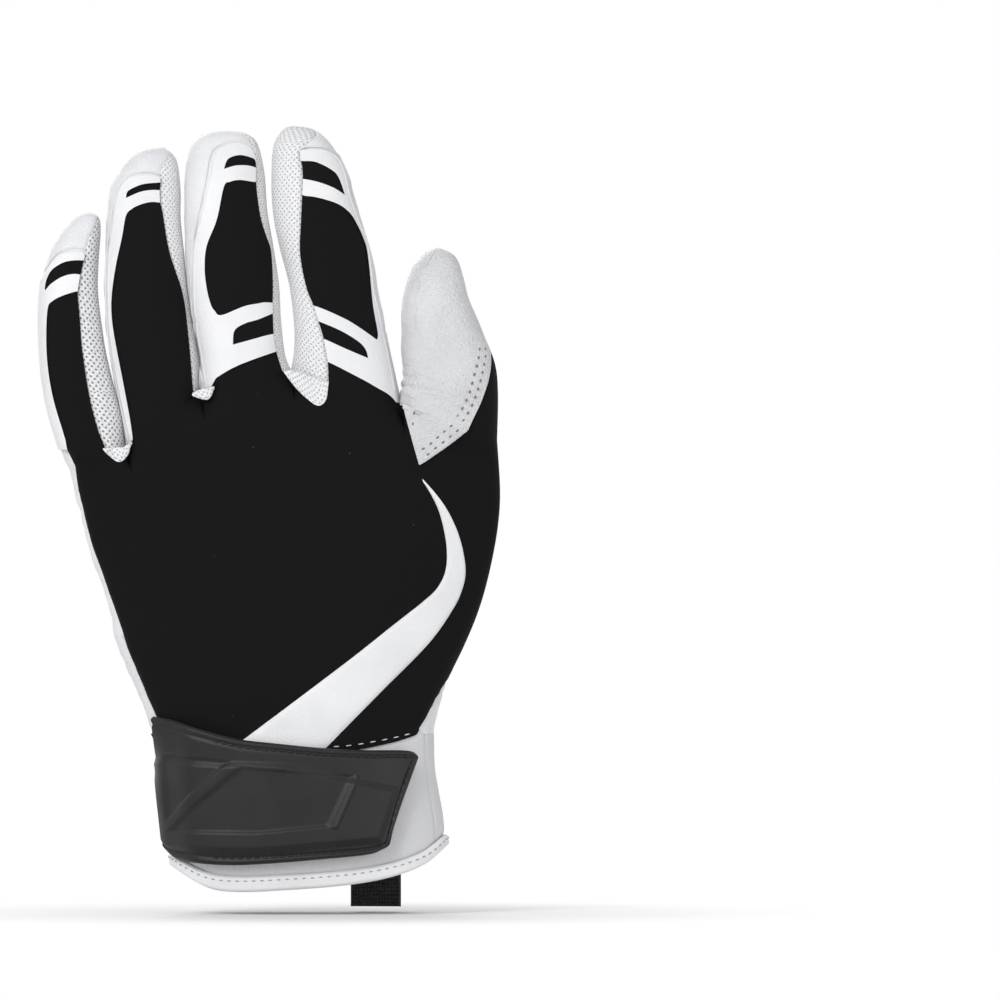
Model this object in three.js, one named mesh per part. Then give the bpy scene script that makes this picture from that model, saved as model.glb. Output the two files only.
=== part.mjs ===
// A batting glove for the left hand, shown with its wrist opening down and its fingers up.
// X runs from the little finger to the thumb, the back of the hand faces -Y and the palm faces +Y.
import * as THREE from "three";
import { mergeVertices } from "three/addons/utils/BufferGeometryUtils.js";

// Driving dimensions, in millimetres
const GLOVE_LENGTH = 236; // lowest point of the hem to the tip of the middle finger
const SHELL = 1.8; // a leather or knit panel with its lining
const SEAM = 0.4; // clearance between pieces that are sewn or lie on each other
const JOINT_GAP = 0.6; // clearance where a digit bends
const PAD_CLEARANCE = 0.75; // clearance under a pad, over the curves at the roots of the fingers
const KNUCKLE_DEPTH = 13; // half depth of the hand under the fingers
const WRIST_DEPTH = 19; // half depth of the hand at the wrist
const HEM_DEPTH = 21; // half depth of the cuff at its hem
const THENAR_RISE = 5; // swell of the palm under the thumb
const HEEL_RISE = 3; // swell of the palm under the little finger
const PAD_HEIGHT = 2.2; // crown of the large palm pads
const FINGER_PAD_HEIGHT = 1.6; // crown of the pads on the fingers
const PAD_EDGE = 0.7; // stitched edge of a pad
const STRIPE_HEIGHT = 0.9; // leather stripe and thumb point on the back
const PIPING_HEIGHT = 1.3; // rolled leather piping of the palm's lower edge
const PLACKET_HEIGHT = 1.1; // folded leather edge above the slit
const CUFF_WALL = 2.4; // padded knit of the cuff
const HEM_BINDING = 0.6; // how far the hem binding stands proud of the cuff
const PATCH_HEIGHT = 0.9; // hook patch and loop patch of the closure
const TAB_HEIGHT = 2.6; // moulded rubber of the closure tab
const TAB_RIDGE = 1.2; // raised relief of the closure tab
const WEBBING = 1.5; // woven pull tab
const PULL_TAB_HANG = 6; // how far the pull tab hangs below the hem

// From the little finger to the thumb: half depth at the root, and how far the tip leans to the palm
const DIGIT_DEPTHS = [9.5, 11, 12, 11.5, 12];
const DIGIT_LEANS = [12, 14, 15, 14, 11];

// Places read from the photograph, in its pixels, with x to the right and y down
const ORIGIN_PX = [311, 889];
const LENGTH_PX = 761;
const CROTCHES_PX = [[61, 450], [126, 447], [200, 390], [291, 370], [401, 404], [496, 440]];
const HAND_LEFT_PX = [
  [149, 724], [141, 696], [130, 672], [119, 645], [108, 602], [99, 575], [88, 545], [78, 504], [69, 474],
];
const HAND_RIGHT_PX = [
  [434, 728], [441, 698], [450, 673], [462, 648], [474, 620], [483, 593], [491, 560], [497, 525], [499, 490],
];
const CUFF_LEFT_PX = [[173, 866], [170, 826], [167, 795], [168, 765], [160, 744], [151, 727]];
const CUFF_RIGHT_PX = [[446, 845], [442, 816], [437, 792], [433, 765], [434, 731]];
const HEM_PX = [[173, 866], [215, 889], [300, 888], [380, 880], [430, 865], [446, 845]];
const DIGIT_LEFT_PX = [
  [[47, 400], [41, 345], [41, 295], [47, 260], [60, 234], [74, 217], [88, 211]],
  [[118, 400], [111, 365], [106, 330], [104, 290], [105, 250], [107, 203], [118, 172],
    [138, 151], [163, 146]],
  [[200, 360], [194, 330], [188, 300], [185, 255], [184, 205], [185, 168], [193, 142],
    [209, 131], [230, 129]],
  [[294, 350], [294, 325], [289, 285], [280, 250], [273, 215], [271, 180], [273, 145],
    [283, 128], [296, 125]],
  [[405, 375], [403, 340], [404, 300], [412, 272], [424, 255], [438, 249]],
];
const DIGIT_RIGHT_PX = [
  [[117, 410], [108, 378], [100, 340], [97, 300], [98, 262], [100, 232], [98, 217], [88, 211]],
  [[197, 362], [190, 320], [184, 280], [182, 250], [180, 215], [180, 190], [176, 160],
    [163, 146]],
  [[285, 354], [281, 320], [279, 285], [273, 245], [267, 210], [264, 172], [257, 143],
    [246, 133], [230, 129]],
  [[394, 372], [386, 335], [379, 295], [371, 255], [359, 215], [349, 178], [333, 146],
    [314, 129], [296, 125]],
  [[497, 395], [494, 364], [482, 333], [469, 304], [463, 280], [455, 259], [438, 249]],
];
const STRIPE_OUTER_PX = [[421, 479], [450, 512], [464, 560], [459, 594], [413, 660], [336, 735]];
const STRIPE_INNER_PX = [[421, 479], [438, 520], [446, 562], [438, 588], [350, 660], [262, 731]];
const POINT_UPPER_PX = [[410, 412], [434, 421], [466, 433]];
const POINT_LOWER_PX = [[410, 414], [411, 440], [417, 463], [440, 451], [466, 434]];

// Shapes shared by all sections
const FULLNESS = 2.4; // exponent of the rounded sections, where 2 is an ellipse
const MERGE_DISTANCE = SEAM / 400; // points closer than this are one
const BACK = 1;
const PALM = -1;
const MM = GLOVE_LENGTH / LENGTH_PX;

const lerp = THREE.MathUtils.lerp;
const clamp = THREE.MathUtils.clamp;
const smooth = THREE.MathUtils.smoothstep;
const degrees = THREE.MathUtils.degToRad;
const signedPower = (value, exponent) => Math.sign(value) * Math.abs(value) ** exponent;
const bell = (value, centre, spread) => Math.exp(-(((value - centre) / spread) ** 2));

// A pixel of the photograph as x and z in millimetres
function fromPhoto([px, py]) {
  return new THREE.Vector2((px - ORIGIN_PX[0]) * MM, (ORIGIN_PX[1] - py) * MM);
}

// An outline edge as a function of the share of its length
function edgeOf(pixels) {
  const curve = new THREE.SplineCurve(pixels.map(fromPhoto));
  return (share) => curve.getPointAt(clamp(share, 0, 1));
}

// The angle round a section at a share of its width, on the back or on the palm
function angleAt(share, side) {
  const angle = Math.acos(signedPower(clamp(2 * share - 1, -1, 1), FULLNESS / 2));
  return side === BACK ? angle : 2 * Math.PI - angle;
}

// The share of the width at an angle round a section
function shareAt(angle) {
  return (1 + signedPower(Math.cos(angle), 2 / FULLNESS)) / 2;
}

const backOrPalm = (angle) => (Math.sin(angle) >= 0 ? BACK : PALM);
const rounding = (angle) => Math.abs(Math.sin(angle)) ** (2 / FULLNESS);

// The hand from wrist to fingers: a flat form between two edges, whose top row follows the crotches
const handLeft = edgeOf([...HAND_LEFT_PX, CROTCHES_PX.at(0)]);
const handRight = edgeOf([...HAND_RIGHT_PX, CROTCHES_PX.at(-1)]);
const crotches = CROTCHES_PX.map(fromPhoto);
const crotchShares = crotches.map((point) =>
  (point.x - crotches[0].x) / (crotches[5].x - crotches[0].x));
const DIGITS = ["pinky", "ring", "middle", "index", "thumb"];
const THENAR_SHARES = [0.82, 0.2, 0.42, 0.3]; // place and spread of a swell, across and along the hand
const HEEL_SHARES = [0.16, 0.18, 0.25, 0.25];
const THINNED_SHARE = 0.8; // height at which the hand is as thin as it is under the fingers
const FINGERS_START_SHARE = 0.7; // height from which the section parts into fingers
const PARTING = 1.5; // exponent of that change
const swell = ([across, acrossSpread, along, alongSpread], share, height) =>
  bell(share, across, acrossSpread) * bell(height, along, alongSpread);

function digitUnder(share) {
  let digit = 0;
  while (digit < 4 && share > crotchShares[digit + 1]) digit += 1;
  const within = (share - crotchShares[digit]) / (crotchShares[digit + 1] - crotchShares[digit]);
  return { digit, within: clamp(within, 0, 1) };
}

function handOutline(share, height) {
  const { digit, within } = digitUnder(share);
  const top = crotches[digit].clone().lerp(crotches[digit + 1], within);
  const bottom = handLeft(0).clone().lerp(handRight(0), share);
  const sides = handLeft(height).clone().lerp(handRight(height), share);
  const corners = bottom.clone().lerp(handLeft(1).clone().lerp(handRight(1), share), height);
  return bottom.lerp(top, height).add(sides).sub(corners);
}

function handDepth(share, height, side, offset) {
  const plainRounding = (1 - Math.abs(2 * share - 1) ** FULLNESS) ** (1 / FULLNESS);
  let depth = lerp(WRIST_DEPTH, KNUCKLE_DEPTH, smooth(height, 0, THINNED_SHARE));
  if (side === PALM) {
    depth += THENAR_RISE * swell(THENAR_SHARES, share, height);
    depth += HEEL_RISE * swell(HEEL_SHARES, share, height);
  }
  const { digit, within } = digitUnder(share);
  const digitRounding = (1 - Math.abs(2 * within - 1) ** FULLNESS) ** (1 / FULLNESS);
  const digitDepth = (DIGIT_DEPTHS[digit] + offset) * digitRounding;
  const parted = smooth(height, FINGERS_START_SHARE, 1) ** PARTING;
  return lerp((depth + offset) * plainRounding, digitDepth, parted);
}

function handPoint(angle, height, offset) {
  const share = shareAt(angle);
  const side = backOrPalm(angle);
  const outline = handOutline(share, height);
  const middle = (handLeft(height).x + handRight(height).x) / 2;
  const halfWidth = (handRight(height).x - handLeft(height).x) / 2;
  const x = middle + (outline.x - middle) * ((halfWidth + offset) / halfWidth);
  return [x, -side * handDepth(share, height, side, offset), outline.y];
}

// The angle and height on the hand that lie under a pixel of the photograph
const MIDDLE_SHARE = 0.5;
function handAtPhoto(pixel, side) {
  const target = fromPhoto(pixel);
  let share = MIDDLE_SHARE;
  let height = MIDDLE_SHARE;
  for (let step = 0; step < 60; step += 1) {
    const now = handOutline(share, height);
    const width = handRight(height).x - handLeft(height).x;
    share = clamp(share + (target.x - now.x) / width, 0, 1);
    height = clamp(height + (target.y - now.y) / (crotches[2].y - handLeft(0).y), 0, 1);
  }
  return [angleAt(share, side), height];
}

// The cuff below the hand: the same kind of form, from the hem up to the wrist seam
const cuffLeft = edgeOf(CUFF_LEFT_PX);
const cuffRight = edgeOf(CUFF_RIGHT_PX);
const hemLine = new THREE.SplineCurve(HEM_PX.map(fromPhoto));

function cuffPoint(angle, height, offset) {
  const share = shareAt(angle);
  const side = backOrPalm(angle);
  const hem = hemLine.getPointAt(share);
  const wrist = cuffLeft(1).clone().lerp(cuffRight(1), share);
  const middle = (cuffLeft(height).x + cuffRight(height).x) / 2;
  const halfWidth = (cuffRight(height).x - cuffLeft(height).x) / 2;
  const x = middle + (2 * share - 1) * (halfWidth + offset);
  const depth = lerp(HEM_DEPTH, WRIST_DEPTH, height) + offset;
  return [x, -side * depth * rounding(angle), lerp(hem.y, wrist.y, height)];
}

// A digit: a form between its two edges, closed at the tip, that leans to the palm as it rises
const THINNING_SHARE = 0.12; // depth that a digit loses on its way to the tip
const ROUND_START_SHARE = 0.62; // height from which its tip is rounded
const TIP_ROUNDING = [2.6, 0.5]; // exponents of that rounding
const LEAN_SHARES = [0.45, 0.55]; // straight part and curved part of the lean

function makeDigit(digit) {
  const left = edgeOf([CROTCHES_PX[digit], ...DIGIT_LEFT_PX[digit]]);
  const right = edgeOf([CROTCHES_PX[digit + 1], ...DIGIT_RIGHT_PX[digit]]);
  const rootDepth = DIGIT_DEPTHS[digit];
  const base = left(0).clone().lerp(right(0), MIDDLE_SHARE);
  const length = left(1).y - base.y;
  const halfWidth = (right(0).x - left(0).x) / 2;
  function depthAt(height) {
    const towardsTip = clamp((height - ROUND_START_SHARE) / (1 - ROUND_START_SHARE), 0, 1);
    const rounded = (1 - towardsTip ** TIP_ROUNDING[0]) ** TIP_ROUNDING[1];
    return rootDepth * (1 - THINNING_SHARE * height) * rounded;
  }
  const leanAt = (height) => DIGIT_LEANS[digit] * (LEAN_SHARES[0] * height + LEAN_SHARES[1] * height ** 2);
  function point(angle, height, offset) {
    const across = signedPower(Math.cos(angle), 2 / FULLNESS);
    const from = left(height);
    const to = right(height);
    const x = (from.x + to.x) / 2 + (across * (to.x - from.x) * (halfWidth + offset)) / (2 * halfWidth);
    const row = (from.y + to.y) / 2 + (across * (to.y - from.y)) / 2;
    const z = lerp(row, base.y + ((row - base.y) * (length + offset)) / length, height);
    const depth = depthAt(height) * (1 + offset / rootDepth) * rounding(angle);
    return [x, leanAt(height) - backOrPalm(angle) * depth, z + JOINT_GAP];
  }
  return { point, length, rootDepth };
}

// Equal shares from 0 to 1, or the list of shares that is given
function sharesOf(steps) {
  return Array.isArray(steps) ? steps : Array.from({ length: steps + 1 }, (_, step) => step / steps);
}

// A sheet that follows a form: place gives the angle and height, low and high its two faces
function sheet({ form, place, low, high, columns, rows, shift = 0, loop = false }) {
  const columnShares = sharesOf(columns);
  const rowShares = sharesOf(rows);
  const across = columnShares.length;
  const lastRow = rowShares.length - 1;
  const positions = [];
  for (const face of [high, low]) {
    for (const along of rowShares) {
      for (const share of columnShares) {
        const [angle, height] = place(share, along);
        const offset = typeof face === "function" ? face(share, along) : face;
        const [x, y, z] = form(angle, height, offset);
        positions.push(x, y + shift, z);
      }
    }
  }
  const faces = [];
  const at = (face, row, column) =>
    (face * rowShares.length + row) * across + (loop ? column % (across - 1) : column);
  const quad = (a, b, c, d) => faces.push(a, b, c, a, c, d);
  for (let row = 0; row < lastRow; row += 1) {
    for (let column = 0; column < across - 1; column += 1) {
      quad(at(0, row, column), at(0, row, column + 1), at(0, row + 1, column + 1), at(0, row + 1, column));
      quad(at(1, row, column), at(1, row + 1, column), at(1, row + 1, column + 1), at(1, row, column + 1));
    }
    if (!loop) {
      quad(at(0, row, 0), at(0, row + 1, 0), at(1, row + 1, 0), at(1, row, 0));
      const last = across - 1;
      quad(at(0, row, last), at(1, row, last), at(1, row + 1, last), at(0, row + 1, last));
    }
  }
  for (let column = 0; column < across - 1; column += 1) {
    quad(at(0, 0, column), at(1, 0, column), at(1, 0, column + 1), at(0, 0, column + 1));
    const next = column + 1;
    quad(at(0, lastRow, column), at(0, lastRow, next), at(1, lastRow, next), at(1, lastRow, column));
  }
  return closedGeometry(positions, faces);
}

// Merges equal points, drops flattened triangles and turns the faces outwards
function closedGeometry(positions, faces) {
  const loose = new THREE.BufferGeometry();
  loose.setAttribute("position", new THREE.Float32BufferAttribute(positions, 3));
  loose.setIndex(faces);
  const merged = mergeVertices(loose, MERGE_DISTANCE);
  const index = merged.index.array;
  const kept = [];
  for (let corner = 0; corner < index.length; corner += 3) {
    const [a, b, c] = [index[corner], index[corner + 1], index[corner + 2]];
    if (a !== b && b !== c && c !== a) kept.push(a, b, c);
  }
  const point = merged.attributes.position;
  const [a, b, c] = [new THREE.Vector3(), new THREE.Vector3(), new THREE.Vector3()];
  let volume = 0;
  for (let corner = 0; corner < kept.length; corner += 3) {
    a.fromBufferAttribute(point, kept[corner]);
    b.fromBufferAttribute(point, kept[corner + 1]);
    c.fromBufferAttribute(point, kept[corner + 2]);
    volume += a.dot(b.cross(c));
  }
  merged.setIndex(volume > 0 ? kept : kept.reverse());
  merged.computeVertexNormals();
  return merged;
}

// Materials: a colour, a roughness and a metalness for each kind of stuff
const stuff = (color, roughness) => () =>
  new THREE.MeshStandardMaterial({ color, roughness, metalness: 0 });
const leather = stuff("#e8e8e9", 0.55);
const knit = stuff("#19191b", 0.85);
const mesh = stuff("#cfcfd1", 0.8);
const cuffKnit = stuff("#d9d9dc", 0.9);
const rubber = stuff("#2b2b2d", 0.5);
const hookAndLoop = stuff("#1f1f21", 0.95);
const webbing = stuff("#161617", 0.8);

const glove = new THREE.Group();

function add(name, material, geometry) {
  const piece = new THREE.Mesh(geometry, material());
  piece.name = name;
  glove.add(piece);
}

// A crowned pad on a form: thin along its stitched edge and thick inside
const crownShare = (share) => 1 - (2 * share - 1) ** 4;

function addPad(name, form, place, crown, columns, rows) {
  const crowned = (across, along) =>
    PAD_CLEARANCE + PAD_EDGE + (crown - PAD_EDGE) * crownShare(across) * crownShare(along);
  add(name, leather, sheet({ form, place, low: PAD_CLEARANCE, high: crowned, columns, rows }));
}

// Hand: the palm leather and the knit back, which meet along both sides
const HAND_ROW_SHARES = [0, 0.14, 0.28, 0.42, 0.56, 0.68, 0.76, 0.82, 0.87, 0.91, 0.95, 0.98, 1];
const handColumns = [];
crotchShares.slice(0, 5).forEach((share, digit) => {
  for (let step = 0; step < 6; step += 1) {
    const within = (1 - Math.cos((Math.PI * step) / 6)) / 2;
    handColumns.push(lerp(share, crotchShares[digit + 1], within));
  }
});
handColumns.push(1);
const handSheet = (side) => sheet({
  form: handPoint,
  place: (share, along) => [angleAt(share, side), along],
  low: -SHELL,
  high: 0,
  columns: handColumns,
  rows: HAND_ROW_SHARES,
  shift: (-side * SEAM) / 2,
});
add("palm_leather", leather, handSheet(PALM));
add("back_panel", knit, handSheet(BACK));

// A strip of leather on the back between two lines of the photograph
function addBackStrip(name, firstLine, secondLine, columns, rows) {
  const lineThrough = (line) => new THREE.SplineCurve(line.map((pixel) => new THREE.Vector2(...pixel)));
  const [first, second] = [lineThrough(firstLine), lineThrough(secondLine)];
  add(name, leather, sheet({
    form: handPoint,
    place: (share, along) => {
      const pixel = first.getPointAt(along).clone().lerp(second.getPointAt(along), share);
      return handAtPhoto(pixel.toArray(), BACK);
    },
    low: SEAM,
    high: SEAM + STRIPE_HEIGHT,
    columns,
    rows,
    shift: -SEAM / 2,
  }));
}

// Back stripe: a tapering leather ribbon that curves from the thumb to the wrist
addBackStrip("back_stripe", STRIPE_INNER_PX, STRIPE_OUTER_PX, 3, 14);

// Thumb point: the curved point in which the leather of the thumb ends on the back
addBackStrip("thumb_point", POINT_UPPER_PX, POINT_LOWER_PX, 4, 8);

// Palm pads: one under the four fingers, one under the index finger and one on the web of the thumb
const FINGERS_PAD_SHARES = { left: 0.03, right: 0.765, low: [0.79, 0.82], high: [0.885, 0.885] };
const INDEX_PAD_SHARES = { left: 0.56, right: 0.76, low: [0.67, 0.69], high: [0.765, 0.77] };
const WEB_PAD_SHARES = { left: 0.8, right: 0.93, low: [0.72, 0.73], high: [0.82, 0.82] };
const SCALLOP_SHARE = 0.06; // how far the pad reaches up under each finger
const palmPlace = ({ left, right, low, high }, scallopShare) => (share, along) => {
  const across = lerp(left, right, share);
  const scallop = Math.sin(Math.PI * digitUnder(across).within) * scallopShare;
  const upper = lerp(high[0], high[1], share) + scallop;
  return [angleAt(across, PALM), lerp(lerp(low[0], low[1], share), upper, along)];
};
const padWidthShare = FINGERS_PAD_SHARES.right - FINGERS_PAD_SHARES.left;
const padColumns = handColumns
  .map((share) => (share - FINGERS_PAD_SHARES.left) / padWidthShare)
  .filter((share) => share > 0 && share < 1);
addPad("palm_pad", handPoint, palmPlace(FINGERS_PAD_SHARES, SCALLOP_SHARE), PAD_HEIGHT,
  [0, ...padColumns, 1], 6);
addPad("index_root_pad", handPoint, palmPlace(INDEX_PAD_SHARES, 0), PAD_HEIGHT, 5, 5);
addPad("thumb_web_pad", handPoint, palmPlace(WEB_PAD_SHARES, 0), PAD_HEIGHT, 5, 4);

// Wrist trim on the palm: piping over its lower edge, and the folded placket above the slit
const PIPING_ANGLES = [degrees(276), degrees(322)];
const PIPING_SHARES = [0.003, 0.026];
const PLACKET_LEFT_SHARES = [0.17, 0.11]; // at its lower and upper end
const PLACKET_RIGHT_SHARES = [0.215, 0.15];
const PLACKET_HEIGHT_SHARES = [0.012, 0.24];
add("palm_piping", leather, sheet({
  form: handPoint,
  place: (share, along) => [
    lerp(PIPING_ANGLES[0], PIPING_ANGLES[1], share),
    lerp(PIPING_SHARES[0], PIPING_SHARES[1], along),
  ],
  low: SEAM,
  high: (share, along) => SEAM + PIPING_HEIGHT * (1 + crownShare(along)) / 2,
  columns: 10,
  rows: 4,
}));
add("wrist_placket", leather, sheet({
  form: handPoint,
  place: (share, along) => {
    const left = lerp(PLACKET_LEFT_SHARES[0], PLACKET_LEFT_SHARES[1], along);
    const right = lerp(PLACKET_RIGHT_SHARES[0], PLACKET_RIGHT_SHARES[1], along);
    const height = lerp(PLACKET_HEIGHT_SHARES[0], PLACKET_HEIGHT_SHARES[1], along);
    return [angleAt(lerp(left, right, share), PALM), height];
  },
  low: SEAM,
  high: SEAM + PLACKET_HEIGHT,
  columns: 3,
  rows: 6,
}));

// Digits: palm leather and back panel in two lengths, a mesh gusset on one side and a pad
const MIDDLE_JOINT_SHARE = 0.46;
const GUSSET_BACK = degrees(60);
const GUSSET_PALM = degrees(32);
const GUSSET_TAPER_SHARE = 0.55;
const GUSSET_END_SHARE = 0.86;
const GUSSET_SIDES = [1, 1, 1, -1, 0]; // 1 is towards the thumb, and 0 is no gusset
const FINGER_PAD_ANGLES = [degrees(235), degrees(305)];
const FINGER_PAD_SHARES = [0.14, 0.34];

DIGITS.forEach((name, digit) => {
  const { point, length, rootDepth } = makeDigit(digit);
  const jointGapShare = JOINT_GAP / length;
  const side = GUSSET_SIDES[digit];
  const seamAngle = (3 * SEAM) / (2 * rootDepth);
  const taper = (height) => 1 - smooth(height, GUSSET_TAPER_SHARE, GUSSET_END_SHARE);
  function opening(height, reach, openSide) {
    if (side !== openSide || height > GUSSET_END_SHARE) return 0;
    return taper(height) * reach + seamAngle;
  }
  const lengths = {
    base: { from: 0, to: MIDDLE_JOINT_SHARE - jointGapShare, rows: 4 },
    tip: { from: MIDDLE_JOINT_SHARE, to: 1, rows: 8 },
  };
  for (const [part, { from, to, rows }] of Object.entries(lengths)) {
    const face = (start, end, shift) => sheet({
      form: point,
      place: (share, along) => {
        const height = lerp(from, to, along);
        return [lerp(start(height), end(height), share), height];
      },
      low: -SHELL,
      high: 0,
      columns: 8,
      rows,
      shift,
    });
    const backStart = (height) => opening(height, GUSSET_BACK, 1);
    const backEnd = (height) => Math.PI - opening(height, GUSSET_BACK, -1);
    const palmStart = (height) => Math.PI + opening(height, GUSSET_PALM, -1);
    const palmEnd = (height) => 2 * Math.PI - opening(height, GUSSET_PALM, 1);
    add(`${name}_${part}_back`, name === "thumb" ? leather : knit, face(backStart, backEnd, -SEAM / 2));
    add(`${name}_${part}_palm`, leather, face(palmStart, palmEnd, SEAM / 2));
    if (side !== 0) {
      const end = Math.min(to, GUSSET_END_SHARE - jointGapShare);
      add(`${name}_${part}_gusset`, mesh, sheet({
        form: point,
        place: (share, along) => {
          const height = lerp(from, end, along);
          const angle = lerp(-taper(height) * GUSSET_PALM, taper(height) * GUSSET_BACK, share);
          return [side > 0 ? angle : Math.PI - angle, height];
        },
        low: -SHELL,
        high: 0,
        columns: 4,
        rows: 4,
      }));
    }
  }
  addPad(`${name}_pad`, point, (share, along) => [
    lerp(FINGER_PAD_ANGLES[0], FINGER_PAD_ANGLES[1], share),
    lerp(FINGER_PAD_SHARES[0], FINGER_PAD_SHARES[1], along),
  ], FINGER_PAD_HEIGHT, 4, 3);
});

// Cuff: a padded band with a slit on the palm near the little finger, and the binding of its hem
const SLIT_ANGLES = [degrees(219), degrees(227)];
const HEM_SHARE = 0.095;
const cuffHeight = cuffLeft(1).y - cuffLeft(0).y;
const aroundCuff = (share) => lerp(SLIT_ANGLES[1] - 2 * Math.PI, SLIT_ANGLES[0], share);
add("cuff_band", cuffKnit, sheet({
  form: cuffPoint,
  place: (share, along) => [aroundCuff(share), lerp(HEM_SHARE, 1, along)],
  low: -CUFF_WALL,
  high: 0,
  columns: 40,
  rows: 3,
}));
add("cuff_hem", leather, sheet({
  form: cuffPoint,
  place: (share, along) => [aroundCuff(share), lerp(0, HEM_SHARE - SEAM / cuffHeight, along)],
  low: -CUFF_WALL,
  high: (share, along) => HEM_BINDING * crownShare(along),
  columns: 40,
  rows: 2,
}));

// Closure: a loop patch on the back of the cuff, and the tab with its hook patch that covers it
const onCuff = (angles, heightShares) => (share, along) =>
  [lerp(angles[0], angles[1], share), lerp(heightShares[0], heightShares[1], along)];
const LOOP_FLOOR = SEAM;
const HOOK_FLOOR = LOOP_FLOOR + PATCH_HEIGHT + SEAM;
const TAB_FLOOR = HOOK_FLOOR + PATCH_HEIGHT + SEAM;
const LOOP_ANGLES = [degrees(63), degrees(150)];
const LOOP_SHARES = [0.26, 0.8];
const HOOK_ANGLES = [degrees(66), degrees(116)];
const HOOK_SHARES = [0.3, 0.76];
add("loop_patch", hookAndLoop, sheet({
  form: cuffPoint,
  place: onCuff(LOOP_ANGLES, LOOP_SHARES),
  low: LOOP_FLOOR,
  high: LOOP_FLOOR + PATCH_HEIGHT,
  columns: 12,
  rows: 1,
}));
add("hook_patch", hookAndLoop, sheet({
  form: cuffPoint,
  place: onCuff(HOOK_ANGLES, HOOK_SHARES),
  low: HOOK_FLOOR,
  high: HOOK_FLOOR + PATCH_HEIGHT,
  columns: 8,
  rows: 1,
}));
const TAB_ROOT_ANGLE = degrees(177);
const TAB_END_ANGLES = [degrees(57), degrees(38)]; // at its lower and upper corner
const TAB_LOW_SHARE = 0.17;
const TAB_HIGH_SHARES = [0.97, 0.84]; // at the root and at the end
const TAB_STEP_SHARES = [0.05, 0.19]; // where its floor rises from the cuff over the patches
const ROOT_FLOOR = 2 * SEAM;
const tabFloor = (share) => lerp(ROOT_FLOOR, TAB_FLOOR, smooth(share, ...TAB_STEP_SHARES));
const RELIEF_ACROSS_SHARES = [0.2, 0.28, 0.62, 0.68]; // where the ridge rises and falls
const RELIEF_ALONG_SHARES = [0.2, 0.3, 0.7, 0.8];
const raisedShare = ([rise, top, edge, foot], share) =>
  smooth(share, rise, top) * (1 - smooth(share, edge, foot));
add("closure_tab", rubber, sheet({
  form: cuffPoint,
  place: (share, along) => {
    const end = lerp(TAB_END_ANGLES[0], TAB_END_ANGLES[1], along);
    const high = lerp(TAB_HIGH_SHARES[0], TAB_HIGH_SHARES[1], share);
    return [lerp(TAB_ROOT_ANGLE, end, share), lerp(TAB_LOW_SHARE, high, along)];
  },
  low: tabFloor,
  high: (share, along) => tabFloor(share) + TAB_HEIGHT
    + TAB_RIDGE * raisedShare(RELIEF_ACROSS_SHARES, share) * raisedShare(RELIEF_ALONG_SHARES, along),
  columns: 22,
  rows: 7,
}));

// Closure root on the palm: a strap that crosses the slit, and a frame round a ribbed window
const STRAP_ANGLES = [degrees(183), degrees(233)];
const STRAP_SHARES = [0.17, 0.93];
add("closure_strap", rubber, sheet({
  form: cuffPoint,
  place: onCuff(STRAP_ANGLES, STRAP_SHARES),
  low: ROOT_FLOOR,
  high: ROOT_FLOOR + TAB_HEIGHT,
  columns: 8,
  rows: 3,
}));
const FRAME_ANGLE = degrees(254);
const FRAME_MIDDLE_SHARE = 0.52;
const FRAME_OUTER = { angle: degrees(19.5), share: 0.44 };
const FRAME_INNER = { angle: degrees(12), share: 0.27 };
const WINDOW_REACH = { angle: degrees(10.2), share: 0.24 };
const FRAME_SQUARENESS = 0.6; // exponent of its outline, where 1 is an ellipse
const WINDOW_ROUNDING_SHARE = 0.25;
const frameOutline = (reach, share) => {
  const turn = 2 * Math.PI * share;
  return [
    FRAME_ANGLE + reach.angle * signedPower(Math.cos(turn), FRAME_SQUARENESS),
    FRAME_MIDDLE_SHARE + reach.share * signedPower(Math.sin(turn), FRAME_SQUARENESS),
  ];
};
add("closure_frame", rubber, sheet({
  form: cuffPoint,
  place: (share, along) => {
    const outer = frameOutline(FRAME_OUTER, share);
    const inner = frameOutline(FRAME_INNER, share);
    return [lerp(outer[0], inner[0], along), lerp(outer[1], inner[1], along)];
  },
  low: SEAM,
  high: (share, along) => SEAM + TAB_HEIGHT + TAB_RIDGE * Math.sin(Math.PI * along),
  columns: 24,
  rows: 3,
  loop: true,
}));
add("closure_window", mesh, sheet({
  form: cuffPoint,
  place: (share, along) => {
    const [across, up] = [2 * share - 1, 2 * along - 1];
    const drawnIn = 1 - WINDOW_ROUNDING_SHARE * across ** 4;
    const height = FRAME_MIDDLE_SHARE + WINDOW_REACH.share * up * drawnIn;
    return [FRAME_ANGLE + WINDOW_REACH.angle * across, height];
  },
  low: SEAM,
  high: SEAM + TAB_HEIGHT / 2,
  columns: 5,
  rows: 4,
}));

// Pull tab: woven tape sewn to the cuff, and its free end that hangs below the hem
const PULL_ANGLES = [degrees(283), degrees(306)];
const PULL_SHARES = [0.27, 0.9];
add("pull_tab_base", webbing, sheet({
  form: cuffPoint,
  place: onCuff(PULL_ANGLES, PULL_SHARES),
  low: SEAM,
  high: SEAM + WEBBING,
  columns: 4,
  rows: 2,
}));
const pullTop = cuffPoint(PULL_ANGLES[0], PULL_SHARES[0], 0)[2] - SEAM;
const hangingPoint = (angle, height, offset) => {
  const [x, y] = cuffPoint(angle, HEM_SHARE / 2, offset);
  return [x, y, lerp(-PULL_TAB_HANG, pullTop, height)];
};
add("pull_tab", webbing, sheet({
  form: hangingPoint,
  place: onCuff(PULL_ANGLES, [0, 1]),
  low: HEM_BINDING + SEAM,
  high: HEM_BINDING + SEAM + WEBBING,
  columns: 4,
  rows: 3,
}));

export default glove;
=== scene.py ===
import math

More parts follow.
